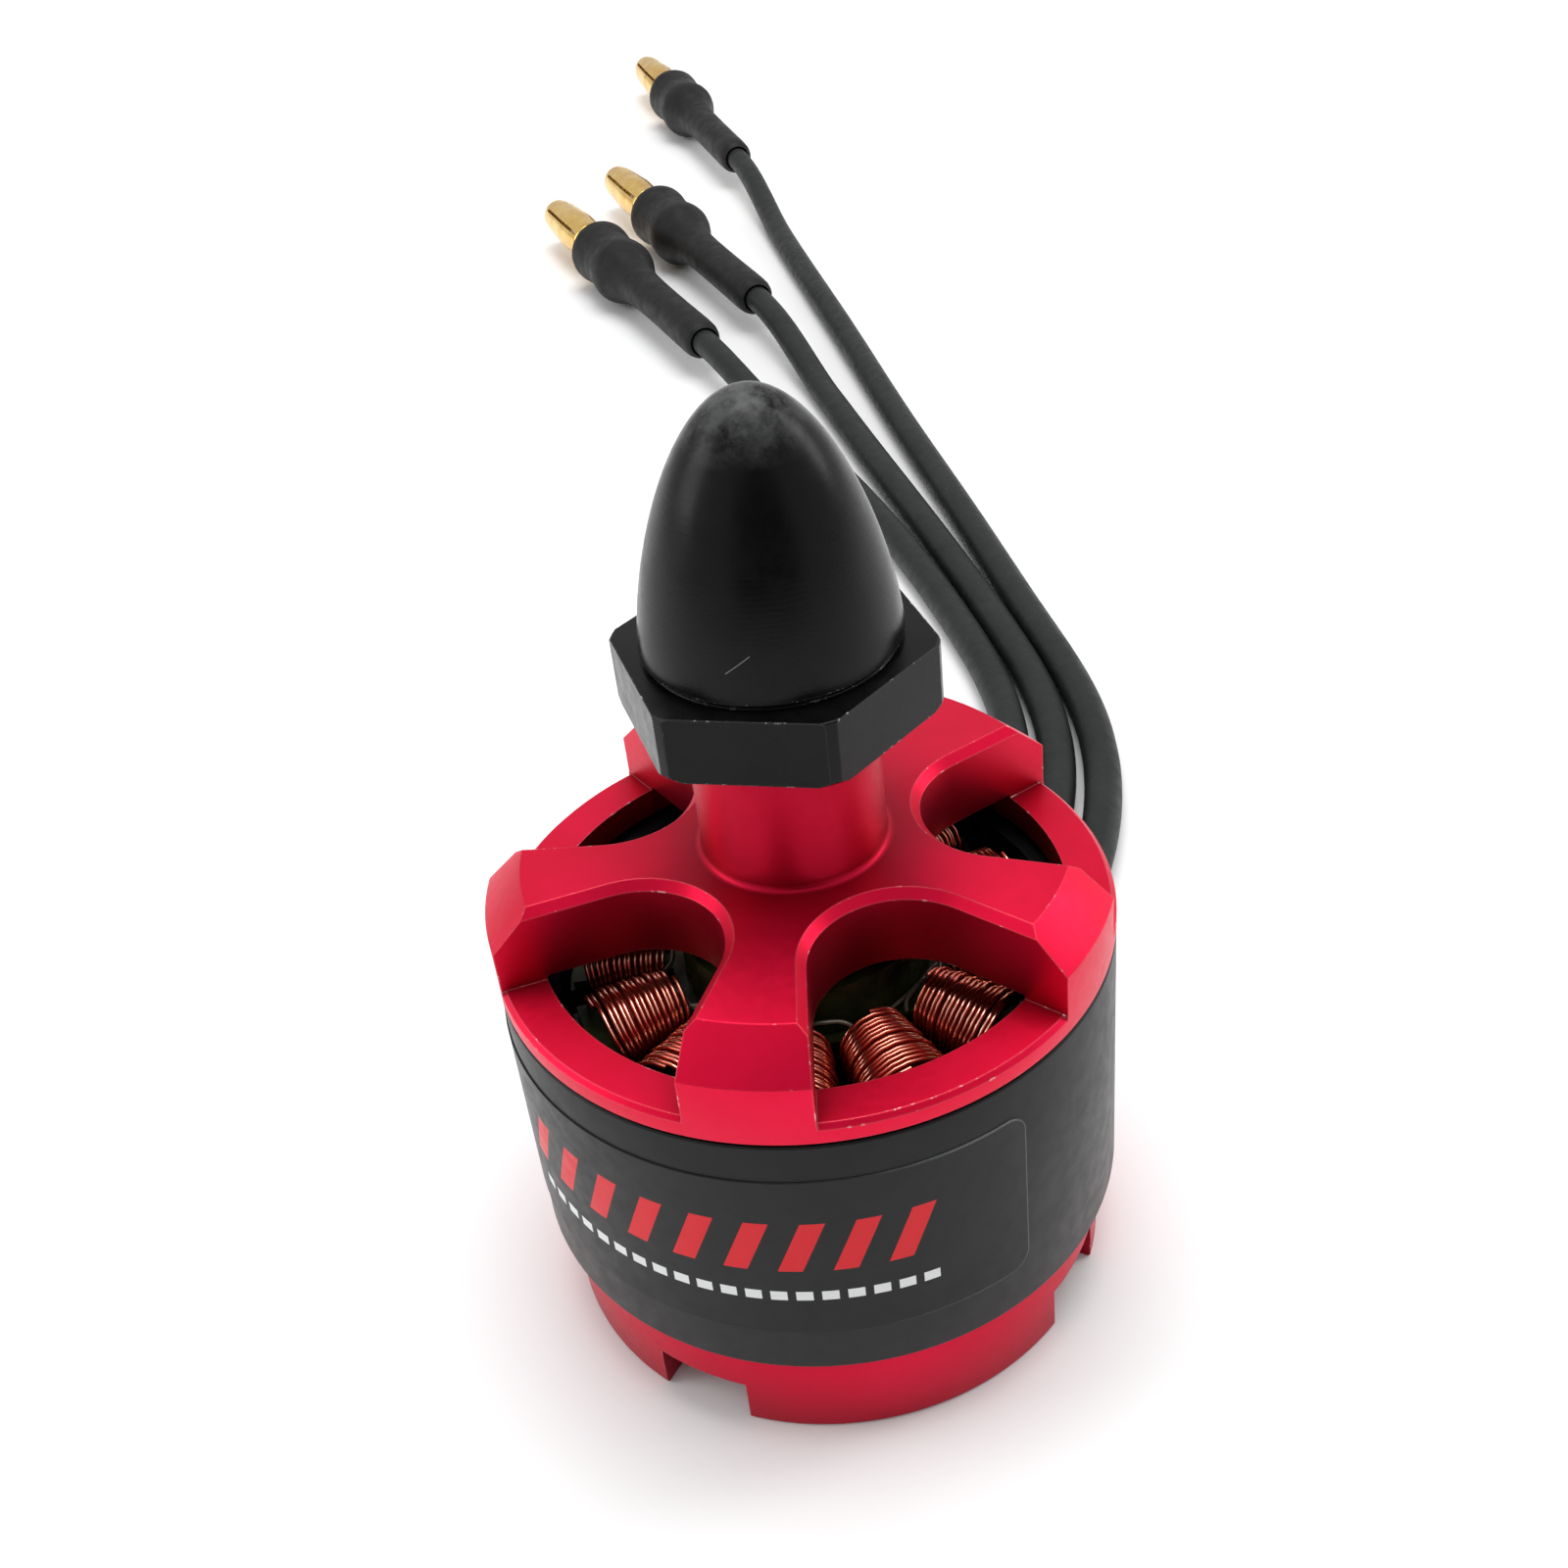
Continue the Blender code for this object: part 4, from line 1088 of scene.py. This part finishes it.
def wire_turns(chance, degrees):
    """One layer of wire wound along a tooth, a little uneven, leaning out above the core."""
    turn = turn_to(degrees)
    parts = 56
    pitch = (COIL_OUTER - COIL_INNER) / TURNS
    spill, bow, slack = 0.95 * MM, 0.08 * MM, 0.02 * MM
    shifts = [chance.uniform(-0.24, 0.24) * pitch for _ in range(TURNS + 2)]
    lifts = [chance.uniform(-1.0, 0.4) * 0.09 * MM for _ in range(TURNS + 2)]
    points = []
    for step in range(TURNS * parts + 1):
        count = step / parts
        index = int(count)
        blend = ease(count - index)
        shift = shifts[index] * (1 - blend) + shifts[index + 1] * blend
        lift = lifts[index] * (1 - blend) + lifts[index + 1] * blend
        radius = COIL_INNER + pitch * count + shift
        off_middle = (radius - (COIL_INNER + COIL_OUTER) / 2) / (COIL_OUTER - COIL_INNER) * 2
        crown = bow * off_middle**2
        half = coil_half_width(radius) - WIRE_RADIUS - slack + lift
        low, high = COIL_LOW + WIRE_RADIUS + crown, COIL_HIGH - WIRE_RADIUS - crown + lift
        y, z = coil_section(count, half, low, high)
        lean = ease((z - CORE_HIGH + 1.6 * MM) / (3.4 * MM)) * spill * (count / TURNS - 0.15)
        points.append(turn @ Vector((radius + lean, y, z)))
    return points


def add_coil_heart(bm, degrees):
    """The wire layers below the outer one, as one mass with an opening for the tooth."""
    turn = turn_to(degrees)
    steps, opening = 32, 1.08 * MM
    outside = (COIL_LOW + 0.45 * MM, COIL_HIGH - 0.45 * MM)
    inside = (COIL_LOW + 0.8 * MM, COIL_HIGH - 0.85 * MM)
    loops = []
    for radius, half, (low, high) in (
        (COIL_INNER, 1.3 * MM, outside),
        (COIL_OUTER, 2.05 * MM, outside),
        (COIL_OUTER, opening, inside),
        (COIL_INNER, opening, inside),
    ):
        section = [coil_section(step / steps, half, low, high) for step in range(steps)]
        loops.append([turn @ Vector((radius, y, z)) for y, z in section])
    add_loft(bm, loops, closed=True)


def make_windings(finishes):
    """Each phase is wound on two pairs of neighbouring teeth, opposite one another."""
    for phase, letter in enumerate("uvw"):
        chance = random.Random("winding" + letter)
        winding = new_wires(f"winding_{letter}", WIRE_RADIUS, 3, finishes["copper"])
        hearts = bmesh.new()
        for tooth in (0, 1, 6, 7):
            degrees = FIRST_TOOTH + 30 * (2 * phase + tooth)
            add_wire(winding, wire_turns(chance, degrees))
            add_coil_heart(hearts, degrees)
        show(winding, "stator", "copper", f"phase_{letter}_winding")
        heart = mesh_object(f"winding_heart_{letter}", hearts, finishes["packed"])
        show(heart, "stator", "copper")


def make_crossovers(finishes):
    """Lacquered wire tails that run from coil to coil round the bearing tube, above the yoke."""
    chance = random.Random("crossovers")
    tails = new_wires("coil_tails", 0.1 * MM, 2, finishes["tails"])
    count, steps = 15, 24
    for index in range(count):
        first = 360 / count * index + chance.uniform(-8, 8)
        span = chance.uniform(22, 44)
        radius = 5.85 * MM + 0.22 * MM * (index % 3)
        height = CORE_HIGH + 0.65 * MM + 0.3 * MM * (index % 4)
        points = []
        for step in range(steps + 1):
            share = step / steps
            lift = 0.25 * MM * math.sin(math.pi * share)
            out = 0.55 * MM * (2 * share - 1) ** 6
            points.append(polar(radius + out, first + span * share, height + lift))
        add_wire(tails, points)
    show(tails, "stator", "insulating_lacquer")


# Pieces whose CAD shape stays


def dress_cad_nodes(finishes):
    """A finish for each CAD node that is still shown, and softer edges for some."""
    bevels = {"stator_core": 0.08 * MM, "top_insulator": 0.1 * MM, "bottom_insulator": 0.1 * MM}
    for name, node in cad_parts.items():
        if node.hide_render:
            continue
        if name.startswith("magnet"):
            finish = finishes["magnet"]
        elif name == "stator_core":
            finish = finishes["core"]
        elif "insulator" in name:
            finish = finishes["insulator"]
        else:
            finish = finishes["steel"]
        node.data.materials.clear()
        node.data.materials.append(finish)
        if name in bevels:
            edge = node.modifiers.new("edge", "BEVEL")
            edge.width = bevels[name]
            edge.segments = 2
            edge.limit_method = "ANGLE"


# Studio


def area_light(name, place, target, size, power):
    light = bpy.data.lights.new(name, "AREA")
    light.shape = "RECTANGLE"
    light.size, light.size_y = size
    light.energy = power
    made = placed(name, light)
    made.location = place
    made.rotation_euler = (Vector(target) - Vector(place)).to_track_quat("-Z", "Y").to_euler()


def make_world():
    """A pale room all round, with a dark patch in front of the motor."""
    front = Vector((0.05, -0.98, 0.17)).normalized()
    edge, core, pale, dark = 0.74, 0.94, 0.7, 0.03
    world = bpy.data.worlds.new("studio")
    world.use_nodes = True
    tree = world.node_tree
    sky = tree.nodes["Background"]
    towards = tree.nodes.new("ShaderNodeTexCoord").outputs["Generated"]
    facing = tree.nodes.new("ShaderNodeVectorMath")
    facing.operation = "DOT_PRODUCT"
    facing.inputs[1].default_value = front
    tree.links.new(towards, facing.inputs[0])
    shade = tree.nodes.new("ShaderNodeMapRange")
    shade.interpolation_type = "SMOOTHSTEP"
    for index, value in enumerate((edge, core, pale, dark)):
        shade.inputs[index + 1].default_value = value
    tree.links.new(facing.outputs["Value"], shade.inputs["Value"])
    tree.links.new(shade.outputs[0], sky.inputs["Strength"])
    sky.inputs["Color"].default_value = (1.0, 1.0, 1.0, 1.0)
    bpy.context.scene.world = world


def make_studio():
    half, depth = 3.0, 0.01
    outline = [Vector((x * half, y * half, 0)) for x, y in ((-1, -1), (1, -1), (1, 1), (-1, 1))]
    floor = lofted("floor", [level(outline, -depth), level(outline, 0.0)], studio_floor())
    make_world()
    area_light("overhead", (0.04, 0.1, 0.7), (0, 0.04, 0), (0.5, 0.42), 3.2)
    area_light("left", (-0.4, 0.02, 0.22), (0, 0, 0.03), (0.2, 0.3), 0.5)
    area_light("right", (0.42, 0.12, 0.25), (0, 0, 0.03), (0.12, 0.3), 0.55)
    bpy.context.scene.view_settings.view_transform = "Standard"


def main():
    make_camera()
    finishes = {
        "red": red_anodised(),
        "can": can_coating(),
        "nut": nut_anodised(),
        "label": label_film(),
        "copper": copper_wire(),
        "packed": packed_copper(),
        "core": lacquered("lacquered_laminations", srgb(22, 24, 12), srgb(44, 48, 24), 0.06),
        "insulator": lacquered("insulating_lacquer", srgb(20, 23, 10), srgb(50, 54, 26), 0.06),
        "tails": lacquered("varnished_tails", srgb(58, 52, 44), srgb(120, 106, 92), 1.0),
        "steel": ground_steel("bearing_steel", srgb(176, 178, 182), srgb(214, 216, 220), 0.2),
        "magnet": magnet_coating(),
        "lead": lead_silicone(),
        "sleeve": heat_shrink(),
        "gold": gold_plating(),
    }
    for letter, route in LEAD_ROUTES.items():
        make_lead(letter, route, finishes)
    make_bell(finishes["red"])
    make_thread(finishes["red"])
    make_ring(finishes["can"])
    make_label(finishes["label"])
    make_nut(finishes["nut"])
    make_base(finishes["red"])
    make_windings(finishes)
    make_crossovers(finishes)
    dress_cad_nodes(finishes)
    make_studio()


main()
